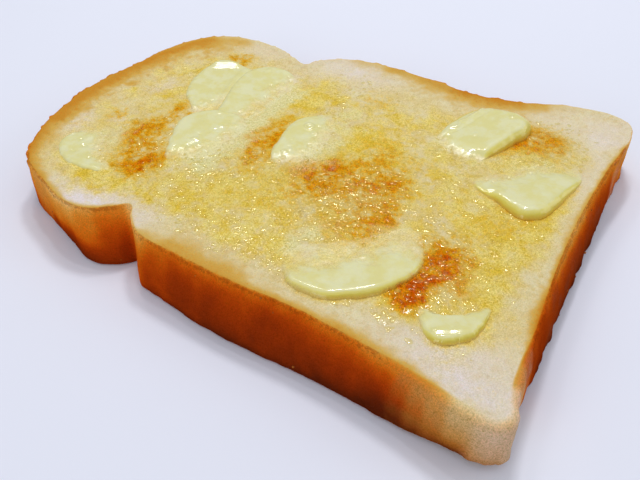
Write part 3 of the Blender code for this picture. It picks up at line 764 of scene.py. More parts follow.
    # masks
    x, y = co[:, 0], co[:, 1]
    masks = looks_at(x, y)
    n_face = fx.size
    d_all = np.zeros(len(co))
    d_all[:n_face] = rim.ravel()
    level = np.full(len(co), -1.0)
    for k, t in enumerate(levels[1:]):
        level[n_face + k * RING:n_face + (k + 1) * RING] = t
    level[n_face + (len(levels) - 1) * RING:] = 2.5
    level[first] = -1.0
    on_face = np.arange(len(co)) < n_face
    on_wall = (level > -0.99) & (level < 2.4)
    s_all = np.zeros(len(co))
    s_all[n_face:n_face + (len(levels) - 1) * RING] = np.tile(ring_s, len(levels) - 1)
    masks["browned"] = np.where(on_face, masks["browned"] + 0.22 * soak_line(x, y), 0)
    masks["soaked"] = np.where(on_face, np.maximum(masks["soaked"], 0.8 * soak_line(x, y)), 0)
    for key in ("filmed", "wetted", "pale"):
        masks[key] = np.where(on_face, masks[key], 0)
    fade = near_corner(x, y)
    d = d_all * (1 + 0.30 * layered(x, y, 4.0, 131, 3)) * (1 + 0.20 * layered(x, y, 1.3, 135, 2))
    rims = np.array(RIMS, float)
    rim_tone = np.zeros(len(co))
    close = (d_all < 26) & (on_face | on_wall)
    tone_at = from_places(x[close], y[close], rims[:, :2], rims[:, 2:])
    rim_tone[close] = tone_at[:, 0] * np.exp(-((d[close] / tone_at[:, 1]) ** 1.4)) + tone_at[:, 2] * (1 - smooth(5, 13, d[close])) * smooth(0, 3, d[close])
    t = np.clip(level, 0, 1)
    patchy = layered(s_all, co[:, 2], 9.0, 141, 3, 0.55, PERIMETER)
    parts = from_places(ring[:, 0], ring[:, 1], [w[:2] for w in WALLS], [(w[2],) + w[3] for w in WALLS])
    wall_tone = np.zeros(len(co))
    beige = np.zeros(len(co))
    for k, v in enumerate(levels[1:]):
        rows = slice(n_face + k * RING, n_face + (k + 1) * RING)
        at = min(max(v, 0.0), 1.0)
        j = min(int(np.searchsorted(WALL_PARTS, at, side="right")) - 1, len(WALL_PARTS) - 2)
        wall_tone[rows] = lerp(parts[:, 1 + j], parts[:, 2 + j], (at - WALL_PARTS[j]) / (WALL_PARTS[j + 1] - WALL_PARTS[j]))
        beige[rows] = parts[:, 0]
    spotty = layered(s_all, co[:, 2], 2.6, 147, 3, 0.65, PERIMETER)
    wall_tone = wall_tone + 0.045 * patchy + 0.03 * spotty * smooth(0.2, 0.5, wall_tone)
    beige = np.clip(beige + (0.25 * patchy + 0.30 * spotty) * smooth(0.02, 0.2, beige) * (1 - smooth(0.85, 1.0, beige)), 0, 1)
    masks["beige"] = np.where(on_wall, beige * smooth(-0.7, 0.1, level), 0)
    base_side = 0.5 * (1 - smooth(2, 9, y)) + 0.5 * smooth(-57, -51, x) * (1 - smooth(2, 5, y))
    masks["pale"] = np.where(on_wall, base_side * smooth(0.02, 0.3, beige), masks["pale"])
    under_tone = 0.16 + 0.10 * layered(x, y, 9.0, 151, 3)
    wall_tone = np.where(level < 0.0, lerp(wall_tone, rim_tone, np.clip(-level, 0, 1)), wall_tone)
    # the wall's tone holds painted shade at its foot as well as the crust's browning
    tone = np.where(on_face, rim_tone, np.where(on_wall, np.where(level < 1.0, wall_tone, lerp(wall_tone, 0.75, np.clip(level - 1, 0, 1))), under_tone))
    masks["crust_tone_and_shade"] = np.clip(tone, 0, 1.05)
    masks["crust_skin"] = np.where(on_wall, smooth(-0.95, -0.1, level), 0.0)
    ridge_line = np.where(on_face, 1 - smooth(0.0, 1.0, d_all), 1 - smooth(0.0, 0.08, np.maximum(level, 0))) * (1 - smooth(0.05, 0.6, fade)) * (level < 2.4)
    masks["ridge"] = ridge_line * smooth(0.24, 0.40, rim_tone + 0.5 * wall_tone * (level > -0.99)) * 0.8
    masks["butter"] = np.zeros(len(co))
    obj = to_mesh("toast_bread", co, faces, uvs, masks)
    return obj


# ------------------------------------------------------------------- materials
def srgb(r, g, b):
    """A colour given as 0 to 255 values, as linear light."""
    out = []
    for c in (r, g, b):
        c /= 255.0
        out.append(c / 12.92 if c <= 0.04045 else ((c + 0.055) / 1.055) ** 2.4)
    return (*out, 1.0)


class Tree:
    """Short names for the nodes used below."""

    def __init__(self, name):
        self.mat = bpy.data.materials.new(name)
        self.mat.use_nodes = True
        self.tree = self.mat.node_tree
        self.shader = self.tree.nodes["Principled BSDF"]
        coords = self.node("ShaderNodeTexCoord")
        self.mm = self.node("ShaderNodeVectorMath", operation="SCALE")
        self.mm.inputs["Scale"].default_value = 1000.0
        self.tree.links.new(coords.outputs["Object"], self.mm.inputs[0])
        self.place = self.mm.outputs[0]

    def node(self, kind, **props):
        n = self.tree.nodes.new(kind)
        for k, v in props.items():
            setattr(n, k, v)
        return n

    def put(self, socket, value):
        if isinstance(value, bpy.types.NodeSocket):
            self.tree.links.new(value, socket)
        else:
            socket.default_value = value

    def math(self, op, a, b=0.0, clamp=False):
        n = self.node("ShaderNodeMath", operation=op, use_clamp=clamp)
        self.put(n.inputs[0], a)
        self.put(n.inputs[1], b)
        return n.outputs[0]

    def add(self, a, b, clamp=False):
        return self.math("ADD", a, b, clamp)

    def mul(self, a, b, clamp=False):
        return self.math("MULTIPLY", a, b, clamp)

    def span(self, value, a, b, c=0.0, d=1.0):
        n = self.node("ShaderNodeMapRange", interpolation_type="SMOOTHSTEP")
        self.put(n.inputs["Value"], value)
        for key, v in zip(("From Min", "From Max", "To Min", "To Max"), (a, b, c, d)):
            n.inputs[key].default_value = v
        return n.outputs[0]

    def attr(self, name):
        return self.node("ShaderNodeAttribute", attribute_name=name).outputs["Fac"]

    def noise(self, size, detail=3.0, rough=0.55, stretch=None):
        n = self.node("ShaderNodeTexNoise")
        place = self.place
        if stretch:
            m = self.node("ShaderNodeMapping")
            m.inputs["Scale"].default_value = stretch
            self.tree.links.new(place, m.inputs["Vector"])
            place = m.outputs[0]
        self.tree.links.new(place, n.inputs["Vector"])
        n.inputs["Scale"].default_value = 1.0 / size
        n.inputs["Detail"].default_value = detail
        n.inputs["Roughness"].default_value = rough
        return n.outputs["Fac"]

    def cells(self, size, feature="F1"):
        n = self.node("ShaderNodeTexVoronoi", feature=feature)
        self.tree.links.new(self.place, n.inputs["Vector"])
        n.inputs["Scale"].default_value = 1.0 / size
        return n.outputs["Distance"]

    def mix(self, fac, a, b):
        n = self.node("ShaderNodeMix", data_type="RGBA", clamp_factor=True)
        self.put(n.inputs[0], fac)
        self.put(n.inputs[6], a)
        self.put(n.inputs[7], b)
        return n.outputs[2]

    def mixf(self, fac, a, b):
        n = self.node("ShaderNodeMix", data_type="FLOAT", clamp_factor=True)
        self.put(n.inputs[0], fac)
        self.put(n.inputs[2], a)
        self.put(n.inputs[3], b)
        return n.outputs[0]

    def ramp(self, fac, stops):
        n = self.node("ShaderNodeValToRGB")
        self.put(n.inputs[0], fac)
        e = n.color_ramp.elements
        while len(e) < len(stops):
            e.new(0.5)
        for k, (at, colour) in enumerate(stops):
            e[k].position = at
            e[k].color = colour
        return n.outputs["Color"]

    def tint(self, colour, amount, shares):
        """The colour made lighter or darker by a part of itself, with its own share for each channel."""
        gain = self.node("ShaderNodeCombineXYZ")
        for socket, share in zip(gain.inputs, shares):
            self.put(socket, self.add(self.mul(amount, share), 1.0))
        n = self.node("ShaderNodeVectorMath", operation="MULTIPLY")
        self.tree.links.new(colour, n.inputs[0])
        self.tree.links.new(gain.outputs[0], n.inputs[1])
        return n.outputs[0]

    def bump(self, height, depth_mm, strength=1.0, under=None):
        n = self.node("ShaderNodeBump")
        n.inputs["Strength"].default_value = strength
        n.inputs["Distance"].default_value = depth_mm * MM
        self.put(n.inputs["Height"], height)
        if under is not None:
            self.tree.links.new(under, n.inputs["Normal"])
        return n.outputs[0]


def bread_colours(t):
    """Colour, roughness and fine relief of toasted bread, from the masks."""
    browned, soaked, filmed = t.attr("browned"), t.attr("soaked"), t.attr("filmed")
    wetted, crust_tone_and_shade, skin, ridge = t.attr("wetted"), t.attr("crust_tone_and_shade"), t.attr("crust_skin"), t.attr("ridge")
    pale, beige = t.attr("pale"), t.attr("beige")
    grain = t.noise(0.55, 3.0, 0.65)
    crumb_grain = t.noise(1.5, 3.0, 0.6)
    cloud = t.noise(7.0, 3.0, 0.6)
    pits = t.cells(0.75)
    dry_in = t.add(t.mul(crumb_grain, 0.6), t.mul(cloud, 0.4))
    dry = t.mix(t.span(dry_in, 0.36, 0.64), srgb(214, 193, 136), srgb(223, 212, 174))
    dry = t.mix(pale, dry, srgb(226, 216, 215))
    dry = t.mix(t.mul(t.span(grain, 0.58, 0.80), 0.30), dry, srgb(214, 186, 140))
    soak_in = t.add(soaked, t.mul(t.add(crumb_grain, -0.5), 0.70))
    blotch = t.noise(4.2, 3.0, 0.55)
    gold = t.mix(t.span(t.add(t.mul(blotch, 0.72), t.mul(grain, 0.28)), 0.36, 0.64), srgb(216, 184, 62), srgb(226, 206, 116))
    colour = t.mix(t.span(soak_in, 0.0, 1.05), dry, gold)
    brown_in = t.add(t.mul(browned, 0.84), t.mul(t.add(t.add(t.mul(grain, 0.4), t.mul(crumb_grain, 0.6)), -0.5), 1.15))
    toasted = t.ramp(brown_in, [(0.0, srgb(220, 192, 78)), (0.30, srgb(214, 168, 42)), (0.55, srgb(207, 141, 16)), (0.78, srgb(200, 109, 4)), (1.0, srgb(184, 78, 0))])
    colour = t.mix(t.span(brown_in, 0.02, 0.50), colour, toasted)
    film_in = t.add(filmed, t.mul(t.add(crumb_grain, -0.5), 0.9))
    colour = t.mix(t.mul(t.span(film_in, 0.10, 0.85), 0.85), colour, srgb(220, 213, 158))
    fine = t.noise(0.30, 2.0, 0.6)
    crust_and_shade_in = t.add(crust_tone_and_shade, t.add(t.mul(t.add(cloud, -0.5), 0.12), t.mul(t.add(t.mul(t.add(grain, fine), 0.5), -0.5), 0.36)))
    crust = t.ramp(crust_and_shade_in, [(0.0, srgb(222, 203, 168)), (0.14, srgb(213, 184, 118)), (0.27, srgb(209, 168, 82)), (0.40, srgb(201, 141, 48)), (0.56, srgb(192, 100, 16)), (0.72, srgb(156, 58, 3)), (0.88, srgb(126, 38, 2)), (1.0, srgb(80, 22, 3))])
    # the dark end of this wall ramp also serves as painted shade at the foot of the wall
    wall = t.ramp(crust_and_shade_in, [(0.0, srgb(236, 214, 176)), (0.12, srgb(238, 194, 120)), (0.25, srgb(232, 162, 72)), (0.36, srgb(224, 136, 42)), (0.46, srgb(214, 108, 20)), (0.56, srgb(198, 82, 11)), (0.68, srgb(170, 60, 8)), (0.80, srgb(144, 48, 9)), (0.91, srgb(116, 39, 10)), (1.0, srgb(84, 30, 12))])
    colour = t.mix(t.span(crust_tone_and_shade, 0.02, 0.24), colour, crust)
    pepper = t.mul(t.span(t.add(t.mul(fine, 0.5), t.mul(grain, 0.5)), 0.555, 0.66), t.span(crust_tone_and_shade, 0.03, 0.30))
    colour = t.mix(t.mul(pepper, 0.50), colour, srgb(172, 102, 36))
    colour = t.mix(skin, colour, wall)
    tan = t.ramp(crust_and_shade_in, [(0.10, srgb(204, 170, 116)), (0.35, srgb(194, 142, 76)), (0.60, srgb(176, 108, 40)), (0.80, srgb(150, 84, 30)), (1.0, srgb(116, 54, 18))])
    pale_skin = t.ramp(crust_and_shade_in, [(0.04, srgb(228, 211, 198)), (0.15, srgb(213, 178, 156)), (0.32, srgb(194, 148, 116))])
    untoasted = t.mix(pale, tan, pale_skin)
    colour = t.mix(beige, colour, untoasted)
    speck = t.mul(t.add(t.add(t.mul(fine, 0.6), t.mul(grain, 0.4)), -0.5), t.mixf(skin, t.add(t.mixf(soaked, 0.75, 2.1), t.mul(t.span(browned, 0.2, 0.9), 2.6)), 2.4))
    speck = t.math("MINIMUM", t.math("MAXIMUM", speck, -0.46), 0.46)
    colour = t.tint(colour, speck, (1.0, 1.06, 1.75))
    burnt = t.add(t.add(t.noise(0.8, 2.0, 0.7), t.mul(t.noise(5.0, 2.0, 0.6), 0.55)), t.mul(ridge, 0.32))
    burnt = t.mul(t.span(burnt, 0.92, 1.08), t.span(ridge, 0.25, 0.65))
    colour = t.mix(t.mul(burnt, 0.38), colour, srgb(130, 50, 8))
    wet = t.mul(t.mul(wetted, t.span(t.noise(1.1, 2.0, 0.6), 0.40, 0.62)), t.mixf(t.span(browned, 0.3, 0.9), 1.0, 0.35))
    rough = t.mixf(t.span(soaked, 0.1, 0.9), 0.86, 0.55)
    rough = t.mixf(wet, rough, 0.22)
    rough = t.mixf(t.span(skin, 0.1, 0.9), rough, 0.66)
    relief = t.mul(t.add(t.mul(grain, 0.8), t.mul(t.span(pits, 0.1, 0.55), 0.25)), t.mixf(skin, 1.0, 0.7))
    return colour, rough, relief, wet


def bread_material():
    t = Tree("toasted_bread")
    colour, rough, relief, wet = bread_colours(t)
    t.put(t.shader.inputs["Base Color"], colour)
    t.put(t.shader.inputs["Roughness"], rough)
    t.put(t.shader.inputs["Coat Weight"], t.mul(wet, 0.7))
    t.shader.inputs["Coat Roughness"].default_value = 0.07
    t.shader.inputs["Specular IOR Level"].default_value = 0.0
    t.shader.inputs["Subsurface Weight"].default_value = 0.08
    t.shader.inputs["Subsurface Radius"].default_value = (1.0, 0.55, 0.25)
    t.shader.inputs["Subsurface Scale"].default_value = 0.0008
    t.put(t.shader.inputs["Normal"], t.bump(relief, 0.20, 1.0))
    return t.mat


def butter_material():
    t = Tree("soft_butter")
    under, rough, relief, wet = bread_colours(t)
    thick, lip = t.attr("butter"), t.attr("lip")
    streak = t.noise(5.0, 3.0, 0.6)
    fine = t.noise(1.3, 2.0, 0.5)
    top_mid = srgb(225, 221, 162)
    top = t.mix(t.span(streak, 0.38, 0.66), srgb(223, 217, 148), srgb(227, 225, 176))
    lip_in = t.add(lip, t.mul(t.add(fine, -0.5), 0.14))
    body = t.ramp(lip_in, [(0.0, top_mid), (0.06, top_mid), (0.20, srgb(222, 212, 118)), (0.42, srgb(217, 202, 84)), (0.68, srgb(219, 190, 66)), (0.92, srgb(214, 166, 52))])
    body = t.mix(t.span(lip_in, 0.02, 0.20), top, body)
    seen = t.span(t.add(thick, t.mul(t.add(t.add(t.mul(streak, 0.6), t.mul(fine, 0.4)), -0.5), 1.1)), 0.0, 0.62)
    t.put(t.shader.inputs["Base Color"], t.mix(seen, under, body))
    t.put(t.shader.inputs["Roughness"], t.mixf(seen, t.mixf(0.5, rough, 0.3), t.mixf(fine, 0.09, 0.16)))
    t.shader.inputs["IOR"].default_value = 1.6
    t.shader.inputs["Subsurface Weight"].default_value = 0.12
    t.shader.inputs["Subsurface Radius"].default_value = (1.0, 0.85, 0.30)
    t.shader.inputs["Subsurface Scale"].default_value = 0.0004
    soft = t.add(t.mul(t.mul(relief, 0.45), t.mixf(seen, 1.0, 0.0)), t.mul(t.noise(2.6, 2.0, 0.5), 0.07))
    t.put(t.shader.inputs["Normal"], t.bump(soft, 0.30, 0.8))
    return t.mat


# ------------------------------------------------------------------- butter pats
def wire(path):
    """Points close together along an open line."""
    p = np.asarray(path, float)
    s = np.concatenate([[0.0], np.cumsum(np.linalg.norm(np.diff(p, axis=0), axis=1))])
    at = np.linspace(0.0, s[-1], int(s[-1] / 0.15) + 2)
    return np.stack([np.interp(at, s, p[:, 0]), np.interp(at, s, p[:, 1])], 1)


def make_pat(name, spec):
    line = spec["line"]
    cx, cy = spec["centre"]
    angles = np.arctan2(line[:, 1] - cy, line[:, 0] - cx)
    radii = np.hypot(line[:, 0] - cx, line[:, 1] - cy)
    order = np.argsort(angles)
    count = 220
    theta = -math.pi + 2 * math.pi * np.arange(count) / count
    reach = np.interp(theta, angles[order], radii[order], period=2 * math.pi)
    wander = 0.22 * layered(theta * 8, 0 * theta + cx, 2.0, 211, 3, 0.6, 16 * math.pi)
    reach = reach + wander
    edge_h = np.interp(theta, angles[order], line[order, 2], period=2 * math.pi)
    u = 1 - (1 - np.linspace(0, 1, 44)[1:]) ** 1.5
    rx = cx + reach[None] * u[:, None] * np.cos(theta)[None]
    ry = cy + reach[None] * u[:, None] * np.sin(theta)[None]
    outline = np.stack([cx + reach * np.cos(theta), cy + reach * np.sin(theta)], 1)
    px, py = np.append(rx.ravel(), cx), np.append(ry.ravel(), cy)
    d2 = (px[:, None] - outline[None, :, 0]) ** 2 + (py[:, None] - outline[None, :, 1]) ** 2
    d = np.sqrt(d2.min(1))
    w = 1.0 / (d2 + 2.0) ** 1.25
    h = (w * edge_h[None]).sum(1) / w.sum(1)
    h = h * (1 + 0.10 * layered(px, py, 7.0, 221, 2))
    melted = edge_h < 0.36
    gone = np.sqrt(d2[:, melted].min(1)) if melted.any() else np.full(len(px), 99.0)
    depth = np.clip(d / np.minimum(spec["width"], 0.8 + 1.0 * h), 0, 1)
    rise = lerp(smooth(0.0, 1.0, depth), np.sqrt(np.clip(1 - (1 - depth) ** 2, 0, 1)), 0.82)
    ragged = 1.0 + 0.28 * layered(px, py, 5.0, 225, 3, 0.6)
    away = np.clip(gone * ragged / spec["taper"], 0, 1)
    thick = h * rise * lerp(away, smooth(0.0, 1.0, away), 0.5)
    if "facet" in spec:
        fx, fy, ax, ay, steep, run, side = spec["facet"]
        up = (px - fx) * ax + (py - fy) * ay + 0.12 * noise(px, py, 2.5, 227)
        beside = np.abs((px - fx) * ay - (py - fy) * ax)
        thick = thick + steep * np.clip(up + 0.5 * run, 0, run) * (1 - smooth(0.65 * side, 1.25 * side, beside)) * smooth(0.0, 1.0, d)
    rim = edge_distance(px, py)
    bread = crumb_height(px, py, rim)
    calm = THICKNESS - RIM_RISE + 0.10
    z = lerp(bread, calm, smooth(0.15, 0.9, thick)) + thick - 0.05 - 0.12 * (1 - smooth(0.0, 0.45, d))
    z = z + 0.03 * smooth(0.2, 0.8, thick) * layered(px, py, 3.5, 231, 2)
    for bx, by, br, bh, kind in spec.get("marks", ()):
        q = np.hypot(px - bx, py - by) / br
        z = z + (bh * np.clip(1 - q * q, 0, 1) if kind == "dome" else bh * (np.exp(-((q - 1.0) / 0.38) ** 2)))
    for path, reach_mm, tall in spec.get("ridges", ()):
        z = z + tall * np.exp(-(edge_distance(px, py, wire(path)) / reach_mm) ** 2) * smooth(0.0, 0.9, d)
    rings = u.size
    co = [np.column_stack([px, py, z])]
    index = np.arange(rings * count).reshape(rings, count)
    centre = rings * count
    faces = []
    inner, outer = index[:-1], index[1:]
    nin, nout = np.roll(inner, -1, 1), np.roll(outer, -1, 1)
    faces.append(np.stack([inner, outer, nout, nin], -1).reshape(-1, 4))
    faces.append(np.stack([np.full(count, centre), index[0], np.roll(index[0], -1)], 1))
    total = centre + 1
    skirt_z = crumb_height(outline[:, 0], outline[:, 1], edge_distance(outline[:, 0], outline[:, 1])) - 0.60
    under = [(1.0, skirt_z), (0.55, skirt_z * 0 + THICKNESS - 1.2)]
    last = index[-1]
    for scale, level in under:
        ringpts = np.column_stack([cx + (outline[:, 0] - cx) * scale, cy + (outline[:, 1] - cy) * scale, level])
        now = np.arange(total, total + count)
        co.append(ringpts)
        total += count
        faces.append(np.stack([last, now, np.roll(now, -1), np.roll(last, -1)], 1))
        last = now
    co.append(np.array([[cx, cy, THICKNESS - 1.2]]))
    faces.append(np.stack([np.full(count, total), np.roll(last, -1), last], 1))
    co = np.concatenate(co)
    x, y = co[:, 0], co[:, 1]
    masks = looks_at(x, y)
    foot = soak_line(x, y)
    masks["browned"] = masks["browned"] + 0.15 * foot
    masks["soaked"] = np.maximum(masks["soaked"], 0.8 * foot)
    masks["crust_tone_and_shade"] = np.zeros(len(co))
    masks["crust_skin"] = np.zeros(len(co))
    masks["beige"] = np.zeros(len(co))
    masks["ridge"] = np.zeros(len(co))
    butter = np.zeros(len(co))
    butter[:len(px)] = thick * 0.9 * spec.get("cover", 1.0)
    lip = np.zeros(len(co))
    lip[:len(px)] = smooth(0.5, 1.6, h) * (1 - rise)
    butter[len(px):] = np.repeat(edge_h[None], 3, 0).ravel()[:len(co) - len(px)] * 0.5
    lip[len(px):] = 0.8
    edge_ring = index[-1]
    butter[edge_ring] = np.maximum(butter[edge_ring], 0.45 * edge_h)
    masks["butter"] = butter
    masks["lip"] = lip
    return to_mesh(name.replace("butter_pat", "melting_pat"), co, faces, None, masks, 2)


# ------------------------------------------------------------------- assembling
bread = make_bread()
bread.data.materials.append(bread_material())
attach(bread, "root")
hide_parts("bread_slice")

butter_finish = butter_material()
for pat_name, pat_spec in PATS.items():
    pat = make_pat(pat_name, pat_spec)
    pat.data.materials.append(butter_finish)
    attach(pat, "root")
    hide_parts(pat_name)


# --------------------------------------------------- beads of butter, crust crumbs
def butter_over(x, y):
    """Thickness of the pats, roughly, at places on the cut face."""
    total = np.zeros(np.shape(x))
    for spec in PATS.values():
        line = spec["line"]
        hit = within(x, y, line)
        if not hit.any():
            continue
        px, py = x[hit], y[hit]
        d2 = (px[:, None] - line[None, :, 0]) ** 2 + (py[:, None] - line[None, :, 1]) ** 2
        w = 1.0 / (d2 + 2.0) ** 1.25
        h = (w * line[None, :, 2]).sum(1) / w.sum(1)
        total[hit] = np.maximum(total[hit], h * smooth(0, 2.5, np.sqrt(d2.min(1))))
    return total


def lumps(name, places, sizes, stretch, turn, height, segments, levels, skirt, drape=False):
    """Many small domes joined in one mesh, each with its own round, long or flat form."""
    n = len(places)
    co, faces = [], []
    ang = 2 * math.pi * np.arange(segments) / segments
    per = segments * (len(levels) + 1) + 1
    base = np.arange(n)[:, None] * per
    for level in levels:
        wob = 1 + 0.12 * rng.standard_normal((n, segments))
        u = sizes[:, None] * level * np.cos(ang)[None] * wob * stretch[:, None]
        v = sizes[:, None] * level * np.sin(ang)[None] * wob
        x = places[:, 0:1] + u * np.cos(turn)[:, None] - v * np.sin(turn)[:, None]
        y = places[:, 1:2] + u * np.sin(turn)[:, None] + v * np.cos(turn)[:, None]
        z = places[:, 2:3] + 0 * x
        if drape:
            z = lerp(z, crumb_height(x, y, 9.0 + 0 * x) - 0.07 * smooth(0.9, 1.1, level), min(level, 1.0) ** 2)
            z = z + (sizes * height)[:, None] * (1 - level * level)
        else:
            z = z + (sizes * height)[:, None] * math.sqrt(max(0.0, 1 - level * level))
        co.append(np.stack([x, y, z], -1))
    foot = co[-1].copy()
    foot[..., 2] -= skirt
    co.append(foot)
    tip = np.stack([places[:, 0], places[:, 1], places[:, 2] + sizes * height], -1)[:, None, :]
    co = np.concatenate([tip] + co, 1).reshape(-1, 3)
    k = np.arange(segments)
    nk = (k + 1) % segments
    first = base + 1
    faces.append(np.stack([np.broadcast_to(base, (n, segments)), first + k, first + nk], -1).reshape(-1, 3))
    for r in range(len(levels)):
        a = base + 1 + r * segments
        b = a + segments
        faces.append(np.stack([a + k, b + k, b + nk, a + nk], -1).reshape(-1, 4))
    last = base + 1 + len(levels) * segments
    faces.append((last + k[::-1]).reshape(n, segments))
    return to_mesh(name, co, faces, None, surface_masks(co), len(levels))


def surface_masks(co):
    x, y = co[:, 0], co[:, 1]
    masks = looks_at(x, y)
    foot = soak_line(x, y)
    masks["browned"] = masks["browned"] + 0.2 * foot
    masks["soaked"] = np.maximum(masks["soaked"], 0.8 * foot)
    for key in ("crust_tone_and_shade", "crust_skin", "ridge", "beige"):
        masks[key] = np.zeros(len(co))
    return masks


def make_beads():
    n = 26000
    x, y = rng.uniform(-49, 48, n), rng.uniform(5, 142, n)
    inside = edge_distance(x, y) > 6.0
    inside &= within(x, y, ring)
    x, y = x[inside], y[inside]
    n = len(x)
    looks = looks_at(x, y)
    patch = 0.5 + 0.5 * layered(x, y, 4.5, 501, 3)
    keep = rng.uniform(0, 1, n) < looks["wetted"] * (0.30 + 0.70 * smooth(0.3, 0.7, patch)) * (0.80 - 0.45 * smooth(0.40, 0.75, looks["browned"]))
    keep &= butter_over(x, y) < 0.35
    x, y, dark = x[keep], y[keep], smooth(0.40, 0.75, looks["browned"][keep])
    n = len(x)
    size = (0.26 + 0.50 * rng.uniform(0, 1, n) ** 2.0) * (1 - 0.45 * dark)
    tall = np.full(n, 0.15)
    # wider, flatter drops where the most butter has run
    drops = []
    for cx, cy, wide, long, count in DROPS:
        drops.append(np.column_stack([cx + wide * rng.standard_normal(count), cy + long * rng.standard_normal(count)]))
    drops = np.concatenate(drops)
    drops = drops[(butter_over(drops[:, 0], drops[:, 1]) < 0.35) & (edge_distance(drops[:, 0], drops[:, 1]) > 6.0)]
    x, y = np.append(x, drops[:, 0]), np.append(y, drops[:, 1])
    size = np.append(size, 0.36 + 0.36 * rng.uniform(0, 1, len(drops)) ** 1.6)
    tall = np.append(tall, np.full(len(drops), 0.13))
    # the few broad wet domes that catch the light
    domes = []
    for cx, cy, wide, long, count in DOMES:
        domes.append(np.column_stack([cx + wide * rng.standard_normal(count), cy + long * rng.standard_normal(count)]))
    domes = np.concatenate(domes)
    domes = domes[(butter_over(domes[:, 0], domes[:, 1]) < 0.35) & (edge_distance(domes[:, 0], domes[:, 1]) > 6.0)]
    x, y = np.append(x, domes[:, 0]), np.append(y, domes[:, 1])
    size = np.append(size, 0.55 + 0.35 * rng.uniform(0, 1, len(domes)) ** 1.3)
    tall = np.append(tall, np.full(len(domes), 0.14))
    n = len(x)
    z = crumb_height(x, y, 9.0 + 0 * x) - 0.01
    stretch = 1 + 1.3 * rng.uniform(0, 1, n) ** 1.5
    print("beads", n)
    return lumps("melted_butter_beads", np.column_stack([x, y, z]), size, stretch, rng.uniform(0, math.pi, n), tall, 7, (0.5, 0.85, 1.12), 0.2, drape=True)


def bead_material():
    t = Tree("melted_butter")
    under, rough, relief, wet = bread_colours(t)
    tint = t.noise(1.6, 2.0, 0.5)
    warm = t.mix(t.span(tint, 0.35, 0.65), srgb(222, 186, 70), srgb(232, 214, 120))
    t.put(t.shader.inputs["Base Color"], t.tint(t.mix(0.08, under, warm), -1.0, (0.05, 0.08, 0.30)))
    t.put(t.shader.inputs["Roughness"], t.mixf(tint, 0.03, 0.07))
    t.shader.inputs["IOR"].default_value = 1.8
    t.shader.inputs["Specular Tint"].default_value = (1.0, 0.86, 0.56, 1.0)
    t.put(t.shader.inputs["Normal"], t.bump(t.mul(tint, 0.2), 0.1, 0.4))
    return t.mat


beads = make_beads()
beads.data.materials.append(bead_material())
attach(beads, "root")


def make_crumbs():
    n = 60
    at = rng.integers(0, RING, n)
    weight = np.where(ring[at, 1] < 8, 1.0, np.where((ring[at, 0] > 0) & (ring[at, 1] > 25), 0.55, 0.25)) * (1 - near_corner(ring[at, 0], ring[at, 1]))
    at = at[rng.uniform(0, 1, n) < weight]
    n = len(at)
    level = np.where(rng.uniform(0, 1, n) < 0.6, rng.uniform(0.0, 0.15, n), rng.uniform(0.7, 1.0, n))
    out = np.sin(0.5 * math.pi * level) ** 0.85 * ring_swell[at]
    xy = ring[at] + ring_lean[at] * out[:, None] - ring_n[at] * 0.05
    z = lerp(THICKNESS - 0.35, FOOT_ROUND + corner_lift(ring[at, 0], ring[at, 1]), level) - 0.1
    size = 0.14 + 0.26 * rng.uniform(0, 1, n) ** 2
    return lumps("crust_crumbs", np.column_stack([xy, z]), size, rng.uniform(1, 1.6, n), rng.uniform(0, math.pi, n), 0.8, 7, (0.5, 0.85, 1.0), 0.2)


def crumb_material():
    t = Tree("dark_crumbs")
    tint = t.noise(0.6, 3.0, 0.6)
    t.put(t.shader.inputs["Base Color"], t.mix(t.span(tint, 0.3, 0.7), srgb(140, 66, 18), srgb(186, 108, 40)))
    t.put(t.shader.inputs["Roughness"], t.mixf(tint, 0.6, 0.85))
    t.shader.inputs["Specular IOR Level"].default_value = 0.1
    t.put(t.shader.inputs["Normal"], t.bump(t.cells(0.3), 0.15, 1.0))
    return t.mat


crumbs = make_crumbs()
crumbs.data.materials.append(crumb_material())
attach(crumbs, "root")


# ------------------------------------------------------------- floor, light, camera
def floor_material():
    t = Tree("pale_floor")
    cloud = t.noise(60.0, 2.0, 0.5)
    t.put(t.shader.inputs["Base Color"], t.mix(cloud, srgb(227, 231, 245), srgb(229, 232, 246)))
    t.shader.inputs["Roughness"].default_value = 0.75
    return t.mat


bpy.ops.mesh.primitive_plane_add(size=6.0, location=(0, 0, 0))
floor = bpy.context.object
floor.name = "floor"
floor.data.materials.append(floor_material())

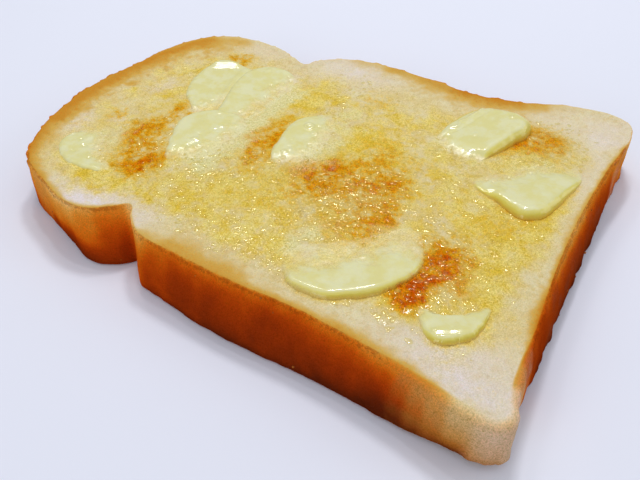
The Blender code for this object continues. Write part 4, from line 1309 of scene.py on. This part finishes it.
world = bpy.data.worlds.new("soft_daylight")
world.use_nodes = True
world.node_tree.nodes["Background"].inputs["Color"].default_value = (0.93, 0.95, 1.0, 1.0)
world.node_tree.nodes["Background"].inputs["Strength"].default_value = 0.34
bpy.context.scene.world = world


def area_light(name, place, size, power, colour=(1, 1, 1)):
    data = bpy.data.lights.new(name, "AREA")
    data.shape = "RECTANGLE"
    data.size, data.size_y = size
    data.energy = power
    data.color = colour
    obj = bpy.data.objects.new(name, data)
    bpy.context.scene.collection.objects.link(obj)
    back = unit(np.array(place, float))
    side = unit(np.cross((0.0, 0.0, 1.0), back))
    up = np.cross(back, side)
    m = Matrix.Identity(4)
    for r in range(3):
        m[r][0], m[r][1], m[r][2], m[r][3] = side[r], up[r], back[r], place[r]
    obj.matrix_world = m
    return obj


area_light("softbox", (0.05, 0.01, 1.00), (1.80, 1.80), 4.3)
area_light("key", (0.36, 0.12, 0.71), (0.10, 0.10), 1.5)
area_light("lamp", (0.22, 0.16, 0.75), (0.04, 0.04), 0.45)
area_light("pane", (0.374, 0.366, 0.723), (0.13, 0.13), 0.50)
area_light("fill", (-0.85, 0.05, 0.40), (0.60, 0.50), 1.85)
area_light("base_fill", (0.50, -0.75, 0.45), (0.60, 0.50), 1.3)

camera_data = bpy.data.cameras.new("camera")
camera_data.sensor_width = 36.0
camera_data.lens = 40.106
camera_data.clip_start = 0.01
camera = bpy.data.objects.new("camera", camera_data)
bpy.context.scene.collection.objects.link(camera)
azimuth, elevation = math.radians(-60.58), math.radians(42.03)
right = np.array([math.cos(azimuth), math.sin(azimuth), 0.0])
back = np.array([math.sin(azimuth) * math.cos(elevation), -math.cos(azimuth) * math.cos(elevation), math.sin(elevation)])
up = np.cross(back, right)
eye = (np.array([-138.94, -5.95, 127.40]) - shift) * MM
m = Matrix.Identity(4)
for r in range(3):
    m[r][0], m[r][1], m[r][2], m[r][3] = right[r], up[r], back[r], eye[r]
camera.matrix_world = m
bpy.context.scene.camera = camera
bpy.context.scene.view_settings.view_transform = "Standard"
